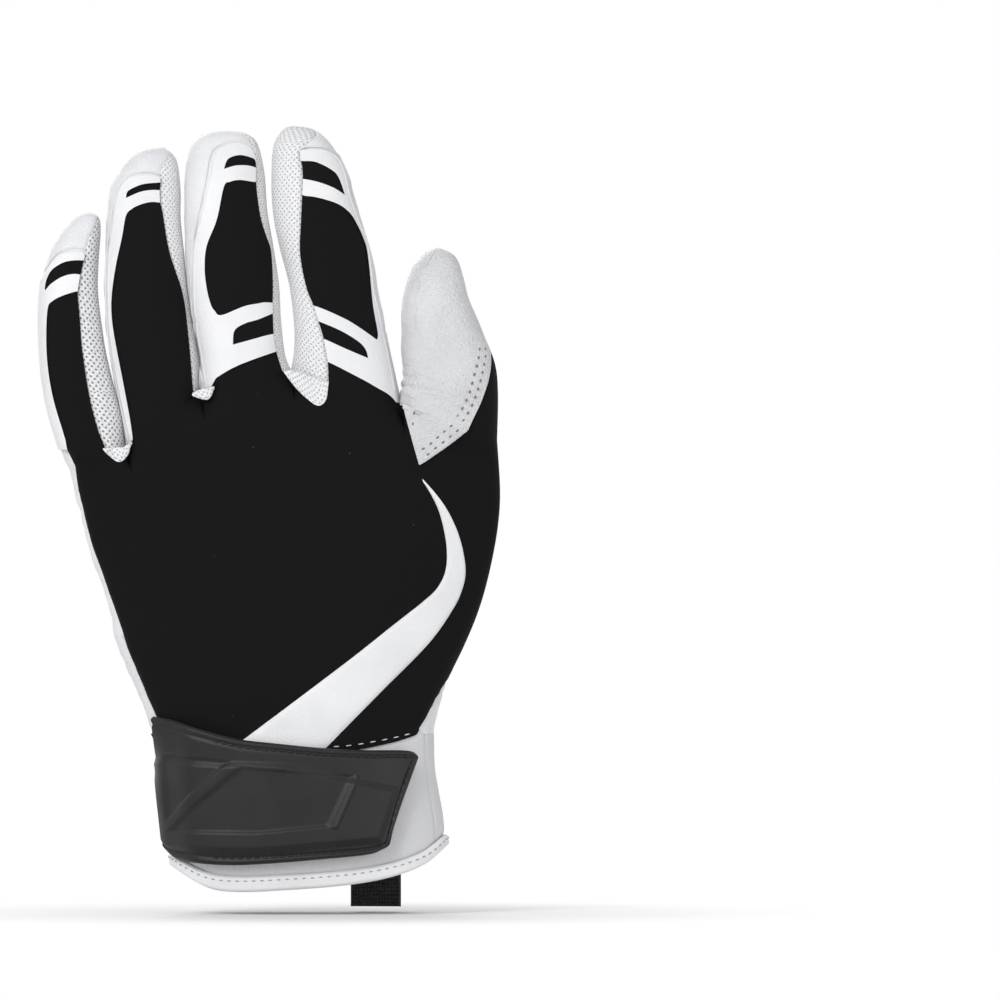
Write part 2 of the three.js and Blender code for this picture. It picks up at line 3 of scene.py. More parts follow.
import bpy
import numpy as np
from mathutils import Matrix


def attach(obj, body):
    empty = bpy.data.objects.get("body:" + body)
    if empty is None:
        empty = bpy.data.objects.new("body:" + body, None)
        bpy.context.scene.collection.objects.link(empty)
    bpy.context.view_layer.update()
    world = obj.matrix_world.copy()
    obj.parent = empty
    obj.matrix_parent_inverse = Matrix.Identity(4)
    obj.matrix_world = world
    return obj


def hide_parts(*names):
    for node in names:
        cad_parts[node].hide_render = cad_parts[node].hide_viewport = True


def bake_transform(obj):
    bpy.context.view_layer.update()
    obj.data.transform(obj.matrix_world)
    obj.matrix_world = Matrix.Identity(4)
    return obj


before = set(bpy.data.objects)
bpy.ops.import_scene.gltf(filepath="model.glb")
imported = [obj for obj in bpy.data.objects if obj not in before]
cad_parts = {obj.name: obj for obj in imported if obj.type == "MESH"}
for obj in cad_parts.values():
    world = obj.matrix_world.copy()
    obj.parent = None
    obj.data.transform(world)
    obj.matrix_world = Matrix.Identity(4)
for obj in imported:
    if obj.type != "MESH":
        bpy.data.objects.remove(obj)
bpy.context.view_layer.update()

# Studio: a pale floor just below the pull tab, a white background and soft light from the
# front left. The long lens sees the back of the glove at its place in the photograph.
PIXEL = 0.236 / 761  # metres on the glove for one pixel of the photograph
PHOTO_SIZE = 1000
ORIGIN_PX = (311, 889)  # where the photograph shows the origin of the frame
LENS = 600.0
SENSOR = 36.0
distance = PHOTO_SIZE * PIXEL * LENS / SENSOR
bpy.ops.object.select_all(action="DESELECT")
bpy.ops.object.camera_add(
    location=((PHOTO_SIZE / 2 - ORIGIN_PX[0]) * PIXEL, -distance, (ORIGIN_PX[1] - PHOTO_SIZE / 2) * PIXEL),
    rotation=(math.radians(90), 0, 0),
)
camera = bpy.context.object
camera.data.lens = LENS
camera.data.sensor_width = SENSOR
camera.data.clip_end = 20
bpy.context.scene.camera = camera
bpy.context.scene.view_settings.view_transform = "Standard"


def add_node(tree, kind, sources=(), **settings):
    """A node with its settings and the links into it, given by socket name or number."""
    node = tree.nodes.new("ShaderNode" + kind)
    for key, value in settings.items():
        if hasattr(node, key):
            setattr(node, key, value)
        else:
            node.inputs[key.replace("_", " ").title()].default_value = value
    for socket, source in dict(sources).items():
        tree.links.new(source, node.inputs[socket])
    return node


def seen_by_camera(tree):
    """1 where the camera looks, also by a reflection or through glass, and 0 for lighting."""
    rays = add_node(tree, "LightPath")
    glossy, clear = rays.outputs["Is Glossy Ray"], rays.outputs["Is Transmission Ray"]
    mirrored = add_node(tree, "Math", {0: glossy, 1: clear}, operation="MAXIMUM")
    seen = add_node(tree, "Math", {0: rays.outputs["Is Camera Ray"], 1: mirrored.outputs[0]}, operation="MAXIMUM")
    return seen.outputs[0]


FLOOR_HEIGHT = -0.0075
bpy.ops.object.select_all(action="DESELECT")
bpy.ops.mesh.primitive_circle_add(vertices=96, radius=1.6, fill_type="NGON", location=(0, 0, FLOOR_HEIGHT))
floor = bpy.context.object
floor.name = "floor"
floor_paint = bpy.data.materials.new("floor_paint")
floor_paint.use_nodes = True
tree = floor_paint.node_tree
matte = tree.nodes["Principled BSDF"]
matte.inputs["Base Color"].default_value = (0.93, 0.93, 0.93, 1)
matte.inputs["Roughness"].default_value = 0.9
place = add_node(tree, "TexCoord")
reach = add_node(tree, "VectorMath", {0: place.outputs["Object"]}, operation="LENGTH")
fade = add_node(tree, "MapRange", {"Value": reach.outputs["Value"]}, interpolation_type="SMOOTHSTEP",
                from_min=0.05, from_max=0.17)
both = add_node(tree, "Math", {0: fade.outputs["Result"], 1: seen_by_camera(tree)}, operation="MULTIPLY")
white = add_node(tree, "Emission")
mixed = add_node(tree, "MixShader", {
    "Fac": both.outputs[0], 1: matte.outputs["BSDF"], 2: white.outputs["Emission"],
})
tree.links.new(mixed.outputs["Shader"], tree.nodes["Material Output"].inputs["Surface"])
floor.data.materials.append(floor_paint)

world = bpy.data.worlds.new("studio")
bpy.context.scene.world = world
world.use_nodes = True
tree = world.node_tree
dome = tree.nodes["Background"]
dome.inputs["Color"].default_value = (0.97, 0.98, 1, 1)
dome.inputs["Strength"].default_value = 0.5
backdrop = add_node(tree, "Background")
backdrop.inputs["Color"].default_value = (1, 1, 1, 1)
backdrop.inputs["Strength"].default_value = 1
mixed = add_node(tree, "MixShader", {
    "Fac": seen_by_camera(tree), 1: dome.outputs["Background"], 2: backdrop.outputs["Background"],
})
tree.links.new(mixed.outputs["Shader"], tree.nodes["World Output"].inputs["Surface"])

GLOVE_MIDDLE = np.array([-0.01, 0, 0.12])
for name, spot, size, power in (
    ("key_light", (-0.6, -1.0, 0.8), 0.5, 8.2),
    ("fill_light", (0.7, -1.0, 0.12), 0.8, 3.4),
    ("rear_light", (-0.2, 1.1, 0.6), 0.7, 5.0),
):
    bpy.ops.object.light_add(type="AREA", location=spot)
    lamp = bpy.context.object
    lamp.name = name
    lamp.data.size = size
    lamp.data.energy = power
    aim = GLOVE_MIDDLE - np.array(spot)
    lamp.rotation_euler = (
        math.atan2(math.hypot(aim[0], aim[1]), -aim[2]),
        0,
        math.atan2(aim[1], aim[0]) - math.pi / 2,
    )

# Palm leather: one piece of white sheepskin for the palm and the heel of the hand. It runs round
# the little finger's side onto the back, where its edge is sewn to the black knit.
FULLNESS = 2.4  # exponent of the rounded sections, where 2 is an ellipse
BACK, PALM = 1, -1
DIGITS = ["pinky", "ring", "middle", "index", "thumb"]
DIGIT_DEPTHS = [0.0095, 0.011, 0.012, 0.0115, 0.012]  # half of each digit's depth at its root
KNUCKLE_DEPTH = 0.013  # half of the hand's depth below the fingers, and at the wrist
WRIST_DEPTH = 0.019
THENAR_RISE = 0.005  # how much the ball of the thumb and the heel of the hand stand out
HEEL_RISE = 0.003
CROTCHES_PX = [[61, 450], [126, 447], [200, 390], [291, 370], [401, 404], [496, 440]]
HAND_LEFT_PX = [
    [149, 724], [141, 696], [130, 672], [119, 645], [108, 602], [99, 575], [88, 545], [78, 504], [69, 474],
    CROTCHES_PX[0],
]
HAND_RIGHT_PX = [
    [434, 728], [441, 698], [450, 673], [462, 648], [474, 620], [483, 593], [491, 560], [497, 525],
    [499, 490], CROTCHES_PX[5],
]
KNIT_EDGE_PX = [[157, 720], [146, 696], [135, 668], [121, 630], [108, 594], [95, 557], [83, 515], [77, 490],
                [74, 466], [66, 449]]


def from_photo(pixels):
    """The place across and up, in metres, of pixels of the photograph's back view."""
    pixels = np.asarray(pixels, float)
    return np.stack([(pixels[..., 0] - ORIGIN_PX[0]) * PIXEL, (ORIGIN_PX[1] - pixels[..., 1]) * PIXEL], axis=-1)


def curve_through(points, steps=40):
    """Points of a smooth curve through the given ones."""
    points = np.asarray(points, float)
    padded = np.vstack([points[:1], points, points[-1:]])
    t = np.linspace(0, 1, steps, endpoint=False)[:, None]
    runs = []
    for a, b, c, d in zip(padded, padded[1:], padded[2:], padded[3:]):
        if np.array_equal(b, c):  # a point given twice is a sharp corner
            continue
        v, w = (c - a) / 2, (d - b) / 2
        runs.append((2 * b - 2 * c + v + w) * t**3 + (3 * c - 3 * b - 2 * v - w) * t**2 + v * t + b)
    return np.vstack(runs + [points[-1:]])


def run_along(points):
    """How far along a line each of its points lies, by the first axis."""
    steps = np.linalg.norm(np.diff(points, axis=0), axis=-1)
    return np.concatenate([np.zeros_like(steps[:1]), np.cumsum(steps, axis=0)])


def along(points):
    """A smooth line as a function of the share of its length."""
    dense = curve_through(points)
    shares = run_along(dense)
    shares = shares / shares[-1]
    return lambda share: np.stack([np.interp(share, shares, column) for column in dense.T], axis=-1)


def read_off(at, places, values):
    """Values read off at places between the given ones, which may come in any order."""
    order = np.argsort(places)
    return np.interp(at, places[order], values[order])


def smooth(value, low, high):
    """A soft step from 0 at the low value to 1 at the high one."""
    t = np.clip((value - low) / (high - low), 0, 1)
    return t * t * (3 - 2 * t)


def bell(value, centre, spread):
    """1 at the centre and less on both sides of it."""
    return np.exp(-(((value - centre) / spread) ** 2))


def signed_power(value, exponent):
    return np.sign(value) * np.abs(value) ** exponent


def angle_at(share, side):
    """The angle round a section at a share of its breadth: 0 is the thumb's side, pi the other."""
    angle = np.arccos(signed_power(np.clip(2 * share - 1, -1, 1), FULLNESS / 2))
    return angle if side == BACK else 2 * np.pi - angle


def share_at(angle):
    """The share of the breadth at an angle round a section."""
    return (1 + signed_power(np.cos(angle), 2 / FULLNESS)) / 2


def side_of(angle):
    """1 on the back and -1 on the palm."""
    return np.where(np.sin(angle) >= 0, 1.0, -1.0)


def arch(share):
    """The depth of a rounded section over its breadth: 0 at the sides and 1 in the middle."""
    return (1 - np.abs(2 * share - 1) ** FULLNESS) ** (1 / FULLNESS)


hand_left = along(from_photo(HAND_LEFT_PX))
hand_right = along(from_photo(HAND_RIGHT_PX))
crotches = from_photo(CROTCHES_PX)
crotch_shares = (crotches[:, 0] - crotches[0, 0]) / (crotches[5, 0] - crotches[0, 0])
corner_left, corner_right = hand_left(0), hand_right(0)
corner_top_left, corner_top_right = hand_left(1), hand_right(1)


def digit_under(share):
    """The number of the digit above a share of the hand's breadth, and the share of its own."""
    digit = np.searchsorted(crotch_shares[1:5], share)
    within = (share - crotch_shares[digit]) / (crotch_shares[digit + 1] - crotch_shares[digit])
    return digit, np.clip(within, 0, 1)


def hand_outline(share, height):
    """The place across and up of a share of the breadth and of the height of the hand."""
    digit, within = digit_under(share)
    s, h, w = share[..., None], height[..., None], within[..., None]
    top = crotches[digit] * (1 - w) + crotches[digit + 1] * w
    bottom = corner_left * (1 - s) + corner_right * s
    sides = hand_left(height) * (1 - s) + hand_right(height) * s
    corners = bottom * (1 - h) + (corner_top_left * (1 - s) + corner_top_right * s) * h
    return bottom * (1 - h) + top * h + sides - corners


def hand_form(angle, height, offset):
    """The surface of the hand, from the wrist seam up to the roots of the digits."""
    angle, height, offset = np.broadcast_arrays(angle, height, offset)
    share = share_at(angle)
    side = side_of(angle)
    outline = hand_outline(share, height)
    left, right = hand_left(height)[..., 0], hand_right(height)[..., 0]
    middle, half = (left + right) / 2, (right - left) / 2
    x = middle + (outline[..., 0] - middle) * (half + offset) / half
    depth = WRIST_DEPTH + (KNUCKLE_DEPTH - WRIST_DEPTH) * smooth(height, 0, 0.8)
    swell = THENAR_RISE * bell(share, 0.82, 0.2) * bell(height, 0.42, 0.3)
    swell = swell + HEEL_RISE * bell(share, 0.16, 0.18) * bell(height, 0.25, 0.25)
    depth = depth + np.where(side < 0, swell, 0)
    digit, within = digit_under(share)
    web = (0.45 * depth + offset) * arch(share)  # on the back the knit bridges the dips where two digits part
    parted = np.where(side < 0, smooth(height, 0.7, 1), smooth(height, 0.88, 1)) ** 1.5
    root = (np.array(DIGIT_DEPTHS)[digit] + offset) * arch(within)
    depth = (depth + offset) * arch(share) * (1 - parted) + root * parted
    depth = np.where(side < 0, depth, np.maximum(depth, web))
    return np.stack([x, -side * depth, outline[..., 1]], axis=-1)


def hand_at(pixels):
    """The angle and height on the back of the hand under pixels of the photograph."""
    target = from_photo(pixels)
    share = np.full(target.shape[:-1], 0.5)
    height = share.copy()
    for _ in range(60):
        now = hand_outline(share, height)
        width = hand_right(height)[..., 0] - hand_left(height)[..., 0]
        share = np.clip(share + (target[..., 0] - now[..., 0]) / width, 0, 1)
        height = np.clip(height + (target[..., 1] - now[..., 1]) / (crotches[2, 1] - corner_left[1]), 0, 1)
    return angle_at(share, BACK), height


# the cuff below the hand: the same kind of form, from the hem up to the wrist seam
CUFF_LEFT_PX = [[173, 866], [170, 826], [167, 795], [168, 765], [160, 744], [149, 724]]
CUFF_RIGHT_PX = [[446, 845], [442, 816], [437, 792], [433, 765], [434, 728]]
HEM_PX = [[173, 866], [215, 889], [300, 888], [380, 880], [430, 865], [446, 845]]
HEM_DEPTH = 0.021
cuff_left = along(from_photo(CUFF_LEFT_PX))
cuff_right = along(from_photo(CUFF_RIGHT_PX))
hem_line = along(from_photo(HEM_PX))


def wrist_row(share):
    """How high the wrist seam runs at a share of the breadth."""
    return cuff_left(1)[1] * (1 - share) + cuff_right(1)[1] * share


def cuff_form(angle, height, offset):
    """The surface of the cuff, from the hem up to the wrist seam."""
    angle, height, offset = np.broadcast_arrays(angle, height, offset)
    share = share_at(angle)
    hem = hem_line(share)[..., 1]
    left, right = cuff_left(height)[..., 0], cuff_right(height)[..., 0]
    x = (left + right) / 2 + (2 * share - 1) * ((right - left) / 2 + offset)
    depth = HEM_DEPTH + (WRIST_DEPTH - HEM_DEPTH) * height + offset
    y = -side_of(angle) * depth * np.abs(np.sin(angle)) ** (2 / FULLNESS)
    return np.stack([x, y, hem + (wrist_row(share) - hem) * height], axis=-1)


def cuff_at(pixels, offset=0.0):
    """The angle and height on the back of the cuff under pixels of the photograph."""
    target = from_photo(pixels)
    height = np.full(target.shape[:-1], 0.5)
    for _ in range(40):
        left, right = cuff_left(height)[..., 0], cuff_right(height)[..., 0]
        across = (target[..., 0] - (left + right) / 2) / ((right - left) / 2 + offset)
        share = np.clip((1 + across) / 2, 0, 1)
        hem = hem_line(share)[..., 1]
        height = np.clip((target[..., 1] - hem) / (wrist_row(share) - hem), -0.2, 1.2)
    return angle_at(share, BACK), height


def wrist_form(angle, height, offset):
    """The hand, and the cuff where the height is below zero."""
    angle, height, offset = np.broadcast_arrays(angle, height, offset)
    upper = hand_form(angle, np.maximum(height, 0), offset)
    lower = cuff_form(angle, 1 + np.minimum(height, 0), offset + 0.0006 * smooth(-height, 0.0, 0.2))
    return np.where((height >= 0)[..., None], upper, lower)


def ripple(points, size, seed):
    """Small even unevenness of soft leather, from a few crossing waves."""
    waves = 9
    total = np.zeros(points.shape[:-1])
    spin = np.random.default_rng(seed)
    for _ in range(waves):
        way = spin.normal(size=3)
        way = way / np.linalg.norm(way) * 2 * np.pi / (size * spin.uniform(0.6, 1.7))
        total += np.sin(points @ way + spin.uniform(0, 6.28)) / waves**0.5
    return total


def clean_selection(piece):
    """Only this piece is selected and active."""
    bpy.ops.object.select_all(action="DESELECT")
    piece.select_set(True)
    bpy.context.view_layer.objects.active = piece


def apply_modifier(piece, kind, **settings):
    clean_selection(piece)
    modifier = piece.modifiers.new(kind.title(), kind)
    for key, value in settings.items():
        setattr(modifier, key, value)
    bpy.ops.object.modifier_apply(modifier=modifier.name)


def lay_sheet(name, form, angle, height, offset, thickness, material, room=1.0):
    """A sheet laid on a form: a grid whose rows run round it, with its thickness inwards.

    The thickness is less where the form has little room inside, as at a tip or a crotch."""
    angle, height, offset, room = np.broadcast_arrays(angle, height, offset, room)
    rows, columns = angle.shape
    bpy.ops.object.select_all(action="DESELECT")
    bpy.ops.mesh.primitive_grid_add(x_subdivisions=columns - 1, y_subdivisions=rows - 1)
    piece = bpy.context.object
    piece.name = piece.data.name = name
    points = form(angle, height, offset)
    piece.data.vertices.foreach_set("co", points.ravel())
    u = run_along(points.transpose(1, 0, 2)).T
    u = u - u[:, columns // 2:columns // 2 + 1]
    v = run_along(points[:, columns // 2])
    uv = np.stack([u, np.broadcast_to(v[:, None], u.shape)], axis=-1).reshape(-1, 2)
    corners = np.empty(len(piece.data.loops), np.int32)
    piece.data.loops.foreach_get("vertex_index", corners)
    piece.data.uv_layers.active.data.foreach_set("uv", uv[corners].ravel())
    piece.data.update()
    outwards = (form(angle, height, offset + 0.001) - points).reshape(-1, 3)
    normals = np.empty(len(outwards) * 3)
    piece.data.vertex_normals.foreach_get("vector", normals)
    if np.sum(outwards * normals.reshape(-1, 3)) < 0:
        piece.data.flip_normals()
    full = piece.vertex_groups.new(name="room")
    for vertex, weight in enumerate(np.clip(0.45 * room / thickness, 0.02, 1).ravel()):
        full.add([vertex], weight, "REPLACE")
    clean_selection(piece)
    bpy.ops.object.mode_set(mode="EDIT")
    bpy.ops.mesh.select_all(action="SELECT")
    bpy.ops.mesh.remove_doubles(threshold=0.00002)
    bpy.ops.object.mode_set(mode="OBJECT")
    apply_modifier(piece, "SOLIDIFY", thickness=thickness, offset=-1.0, vertex_group="room")
    piece.vertex_groups.clear()
    clean_selection(piece)
    bpy.ops.object.shade_smooth_by_angle(angle=math.radians(50))
    piece.data.materials.append(material)
    return piece


def start_material(name, roughness, coordinates="Object"):
    """A material with its shader, its coordinates in metres and a bump node for its own pattern."""
    material = bpy.data.materials.new(name)
    material.use_nodes = True
    tree = material.node_tree
    shader = tree.nodes["Principled BSDF"]
    shader.inputs["Roughness"].default_value = roughness
    place = tree.nodes.new("ShaderNodeTexCoord")
    bump = tree.nodes.new("ShaderNodeBump")
    tree.links.new(bump.outputs["Normal"], shader.inputs["Normal"])
    return material, tree, shader, place.outputs[coordinates], bump


def raise_relief(tree, bump, relief, depth, strength=1.0):
    """The surface seems to rise by a depth in metres where the relief is 1."""
    tree.links.new(relief, bump.inputs["Height"])
    bump.inputs["Strength"].default_value = strength
    bump.inputs["Distance"].default_value = depth


def two_tone(tree, shader, factor, dark, light, low=0.0, high=1.0):
    """The base colour runs from one tone to another with a factor."""
    span = add_node(tree, "MapRange", {"Value": factor}, from_min=low, from_max=high)
    tones = add_node(tree, "Mix", {"Factor": span.outputs[0]}, data_type="RGBA")
    tones.inputs[6].default_value = (*dark, 1)
    tones.inputs[7].default_value = (*light, 1)
    tree.links.new(tones.outputs[2], shader.inputs["Base Color"])
    return tones


def leather_material(name, dark, light, grain=0.25):
    """Soft dyed sheepskin with fine pores and creases."""
    material, tree, shader, place, bump = start_material(name, 0.52)
    clouds = add_node(tree, "TexNoise", {"Vector": place}, scale=55.0, detail=4.0)
    two_tone(tree, shader, clouds.outputs["Fac"], dark, light, 0.3, 0.7)
    pores = add_node(tree, "TexVoronoi", {"Vector": place}, scale=1500.0)
    creases = add_node(tree, "TexNoise", {"Vector": place}, scale=420.0, detail=5.0)
    height = add_node(tree, "Math", {0: pores.outputs["Distance"], 1: creases.outputs["Fac"]}, operation="ADD")
    raise_relief(tree, bump, height.outputs[0], 0.0004, grain)
    gloss = add_node(tree, "MapRange", {"Value": creases.outputs["Fac"]}, to_min=0.42, to_max=0.62)
    tree.links.new(gloss.outputs[0], shader.inputs["Roughness"])
    return material


white_leather = leather_material("white_leather", (0.76, 0.76, 0.775), (0.83, 0.83, 0.84))
thumb_leather = leather_material("thumb_leather", (0.62, 0.62, 0.635), (0.73, 0.73, 0.745), 0.75)
palm_leather_finish = leather_material("palm_leather", (0.74, 0.74, 0.76), (0.82, 0.82, 0.835), 0.4)

# the columns of the hand are closest together at the sides of each digit
column_steps = (1 - np.cos(np.pi * np.arange(22) / 22)) / 2
hand_columns = np.concatenate([
    crotch_shares[digit] + (crotch_shares[digit + 1] - crotch_shares[digit]) * column_steps for digit in range(5)
] + [[1.0]])
hand_rows = np.linspace(0, 1, 110)[:, None]
knit_angles, knit_heights = hand_at(KNIT_EDGE_PX)
pinky_seam = read_off(hand_rows, knit_heights, knit_angles)
# on the thumb's side the seam lies a little onto the palm, and comes round at the wrist
thumb_seam = np.radians(np.interp(
    hand_rows, [0, 0.04, 0.10, 0.15, 0.20, 0.28, 0.45, 0.7, 1.0],
    [27, 21, 14, 4, -8, -17, -18, -16, -20],
))


def room_in_hand(angle, height):
    """The depth inside the hand, from the back to the palm."""
    gap = np.linalg.norm(hand_form(angle, height, 0.0) - hand_form(2 * np.pi - angle, height, 0.0), axis=-1)
    side = np.abs(np.cos(angle)) ** (2 / FULLNESS)
    return np.where(side > 0.97, 1.0, gap)


def seam_distance(surface):
    """How far the points of a sheet lie from its nearer side seam, in metres."""
    first, last = (np.linalg.norm(surface - end, axis=2) for end in (surface[:, :1], surface[:, -1:]))
    return np.minimum(first, last)


def edge_tuck(distance, deep=0.0007):
    """How far a sheet is pulled down into its seam, by the distance from it in metres."""
    return -deep * np.exp(-((distance / 0.0016) ** 2))


palm_angle = np.concatenate([
    [np.pi - 0.55], np.linspace(np.pi - 0.5, np.pi - 0.01, 24), angle_at(hand_columns, PALM),
    2 * np.pi + np.linspace(0.02, 0.48, 20),
])[None, :]
palm_angle = np.clip(palm_angle, pinky_seam, 2 * np.pi + thumb_seam)
palm_rows = np.concatenate([np.linspace(-0.045, -0.005, 5), hand_rows[:, 0]])[:, None]
palm_angle = np.concatenate([np.repeat(palm_angle[:1], 5, axis=0), palm_angle])
palm_height = np.broadcast_to(palm_rows, palm_angle.shape)
surface = wrist_form(palm_angle, palm_height, 0.0)
wrinkle = 0.00035 * ripple(surface, 0.016, 4) + 0.0002 * ripple(surface, 0.006, 5)
wrinkle = wrinkle * smooth(palm_rows, 0.0, 0.1) * (1 - smooth(palm_rows, 0.93, 1.0))
palm_leather = lay_sheet(
    "palm_leather_skin", wrist_form, palm_angle, palm_height, wrinkle + edge_tuck(seam_distance(surface)),
    0.0012, palm_leather_finish, room_in_hand(palm_angle, np.maximum(palm_height, 0)),
)
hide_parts("palm_leather")
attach(palm_leather, "hand")

# Back panel: black stretch knit over the back of the hand and round the thumb's side, where
# it turns onto the palm. It is sewn to the palm leather along both of its long edges.
KNIT_RISE = 0.00035
KNIT_HEM_PX = [[149, 726], [170, 736], [200, 744], [250, 750], [300, 753], [340, 753], [361, 748], [395, 741],
               [414, 735], [425, 729.5], [434, 728.5]]


def knit_material():
    """Fine black knit with a faint shine of its yarn and a few specks of lint."""
    material, tree, shader, place, bump = start_material("black_knit", 0.85, "UV")
    shader.inputs["Specular IOR Level"].default_value = 0.12
    rows = add_node(tree, "TexWave", {"Vector": place}, bands_direction="Y", scale=760.0, distortion=1.2,
                    detail=1.0)
    ribs = add_node(tree, "TexWave", {"Vector": place}, bands_direction="X", scale=620.0, distortion=0.6,
                    detail=1.0)
    fuzz = add_node(tree, "TexNoise", {"Vector": place}, scale=2600.0, detail=3.0)
    weave = add_node(tree, "Math", {0: rows.outputs["Fac"], 1: ribs.outputs["Fac"]}, operation="MULTIPLY")
    height = add_node(tree, "Math", {0: weave.outputs[0], 1: fuzz.outputs["Fac"]}, operation="ADD")
    raise_relief(tree, bump, height.outputs[0], 0.0002, 0.35)
    tones = two_tone(tree, shader, height.outputs[0], (0.0032, 0.0032, 0.0036), (0.008, 0.008, 0.0088), 0.2, 1.7)
    lint = add_node(tree, "TexVoronoi", {"Vector": place}, scale=95.0)
    speck = add_node(tree, "Math", {0: lint.outputs["Distance"]}, operation="LESS_THAN")
    speck.inputs[1].default_value = 0.022
    specked = add_node(tree, "Mix", {"Factor": speck.outputs[0], 6: tones.outputs[2]}, data_type="RGBA")
    specked.inputs[7].default_value = (0.06, 0.06, 0.064, 1)
    tree.links.new(specked.outputs[2], shader.inputs["Base Color"])
    return material


black_knit = knit_material()


def back_at(pixels):
    """The angle and height on the back of the hand or of the cuff under pixels."""
    pixels = np.asarray(pixels, float)
    angle, height = hand_at(pixels)
    cuff_angle, cuff_height = cuff_at(pixels)
    (start_x, start_y), (end_x, end_y) = CUFF_LEFT_PX[-1], CUFF_RIGHT_PX[-1]
    below = pixels[..., 1] > start_y + (end_y - start_y) * (pixels[..., 0] - start_x) / (end_x - start_x)
    return np.where(below, cuff_angle, angle), np.where(below, np.minimum(cuff_height - 1, 0), height)


hem_angles, hem_heights = cuff_at(KNIT_HEM_PX)
rows = np.concatenate([np.linspace(-1, -0.05, 12), hand_rows[:, 0]])[:, None]
back_angle = np.concatenate([np.linspace(-0.42, -0.01, 18), angle_at(hand_columns, BACK)[::-1]])[None, :]
on_hand = [np.interp(rows, hand_rows[:, 0], seam[:, 0]) for seam in (thumb_seam, pinky_seam)]
back_angle = np.clip(back_angle, *on_hand)
back_height = np.where(rows < 0, -rows * read_off(back_angle, hem_angles, np.minimum(hem_heights - 1, 0)), rows)
tuck = edge_tuck(seam_distance(wrist_form(back_angle, back_height, 0.0)), deep=0.0009)
back_panel = lay_sheet(
    "back_panel_knit", wrist_form, back_angle, back_height, KNIT_RISE + tuck,
    0.0008, black_knit, room_in_hand(back_angle, np.maximum(back_height, 0)),
)
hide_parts("back_panel")
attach(back_panel, "hand")

# Back stripe: a tapering ribbon of white leather that starts in a point below the thumb, turns
# at the heel of the thumb and runs down to the wrist. It is sewn on top of the knit.
STRIPE_OUTER_PX = [[422, 479], [434, 493], [446, 510], [456, 531], [462, 552], [464.5, 572], [461, 590],
                   [452, 609], [428, 643], [380, 692], [327, 746], [312, 760]]
STRIPE_INNER_PX = [[422, 481], [430, 494], [438, 511], [443.5, 532], [446, 552], [444.5, 571], [437, 587],
                   [424, 600], [390, 627], [346, 662], [246, 738], [218, 760]]


def fill_between(first_px, second_px, columns, rows):
    """A grid of pixels between two smooth lines of the photograph."""
    a = along(first_px)(np.linspace(0, 1, rows))[:, None, :]
    b = along(second_px)(np.linspace(0, 1, rows))[:, None, :]
    t = np.linspace(0, 1, columns)[None, :, None]
    return a * (1 - t) + b * t


def crowned(columns, rows, edge, crown, power):
    """Height of a patch over its grid: low at the edges and full inside."""
    across = np.abs(np.linspace(-1, 1, columns))[None, :] ** power
    up = np.abs(np.linspace(-1, 1, rows))[:, None] ** power
    return edge + (crown - edge) * (1 - across) * (1 - up)


angle, height = back_at(fill_between(STRIPE_INNER_PX, STRIPE_OUTER_PX, 26, 170))
back_stripe = lay_sheet(
    "back_stripe_leather", wrist_form, angle, height, crowned(26, 170, 0.0004, 0.00115, 10), 0.0006,
    white_leather,
)
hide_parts("back_stripe")
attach(back_stripe, "hand")

# Thumb point: the white leather of the thumb ends in a curved point on the back of the hand,
# edged by two rows of stitches.
POINT_TOP_PX = [[401, 402], [418, 409], [434, 416], [450, 422], [466, 428.5]]
POINT_LOW_PX = [[401, 406], [404, 418], [409.5, 438], [416, 461], [418.5, 464.6], [436, 453], [452, 441.3],
                [466, 429.5]]


def bridge_form(angle, height, offset):
    """The back of the hand without the dips between two digits, for what spans them."""
    points = hand_form(angle, height, offset)
    points[..., 1] = np.minimum(points[..., 1], hand_form(angle, 0.9, offset)[..., 1] + 0.0018)
    return points


angle, height = hand_at(fill_between(POINT_TOP_PX, POINT_LOW_PX, 24, 60))
thumb_point = lay_sheet(
    "thumb_point_leather", bridge_form, angle, height, crowned(24, 60, 0.0011, 0.0015, 10), 0.0014,
    thumb_leather,
)
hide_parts("thumb_point")
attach(thumb_point, "hand")

# Crotch pieces: where two fingers part, their white mesh runs down onto the back of the hand in a
# small tongue whose edge is overstitched.
CROTCH_PIECES_PX = {
    "pinky_ring": ([[105.5, 448.5], [115, 447], [126, 446.5], [133.8, 441.5]],
                   [[105.5, 449.5], [113, 457], [120, 461.8], [126, 460.3], [131, 453.5], [133.8, 443]]),
    "ring_middle": ([[193, 394], [200, 389.5], [208, 388], [215.8, 386.4]],
                    [[193, 394.6], [197.5, 397.5], [203, 399.3], [208.8, 400], [213, 396], [215.8, 387]]),
    "middle_index": ([[284, 371.5], [291, 370], [310, 376], [328.5, 381.6]],
                     [[284, 372.5], [295, 387], [306, 398], [318, 406], [326, 400], [328.5, 383]]),
}


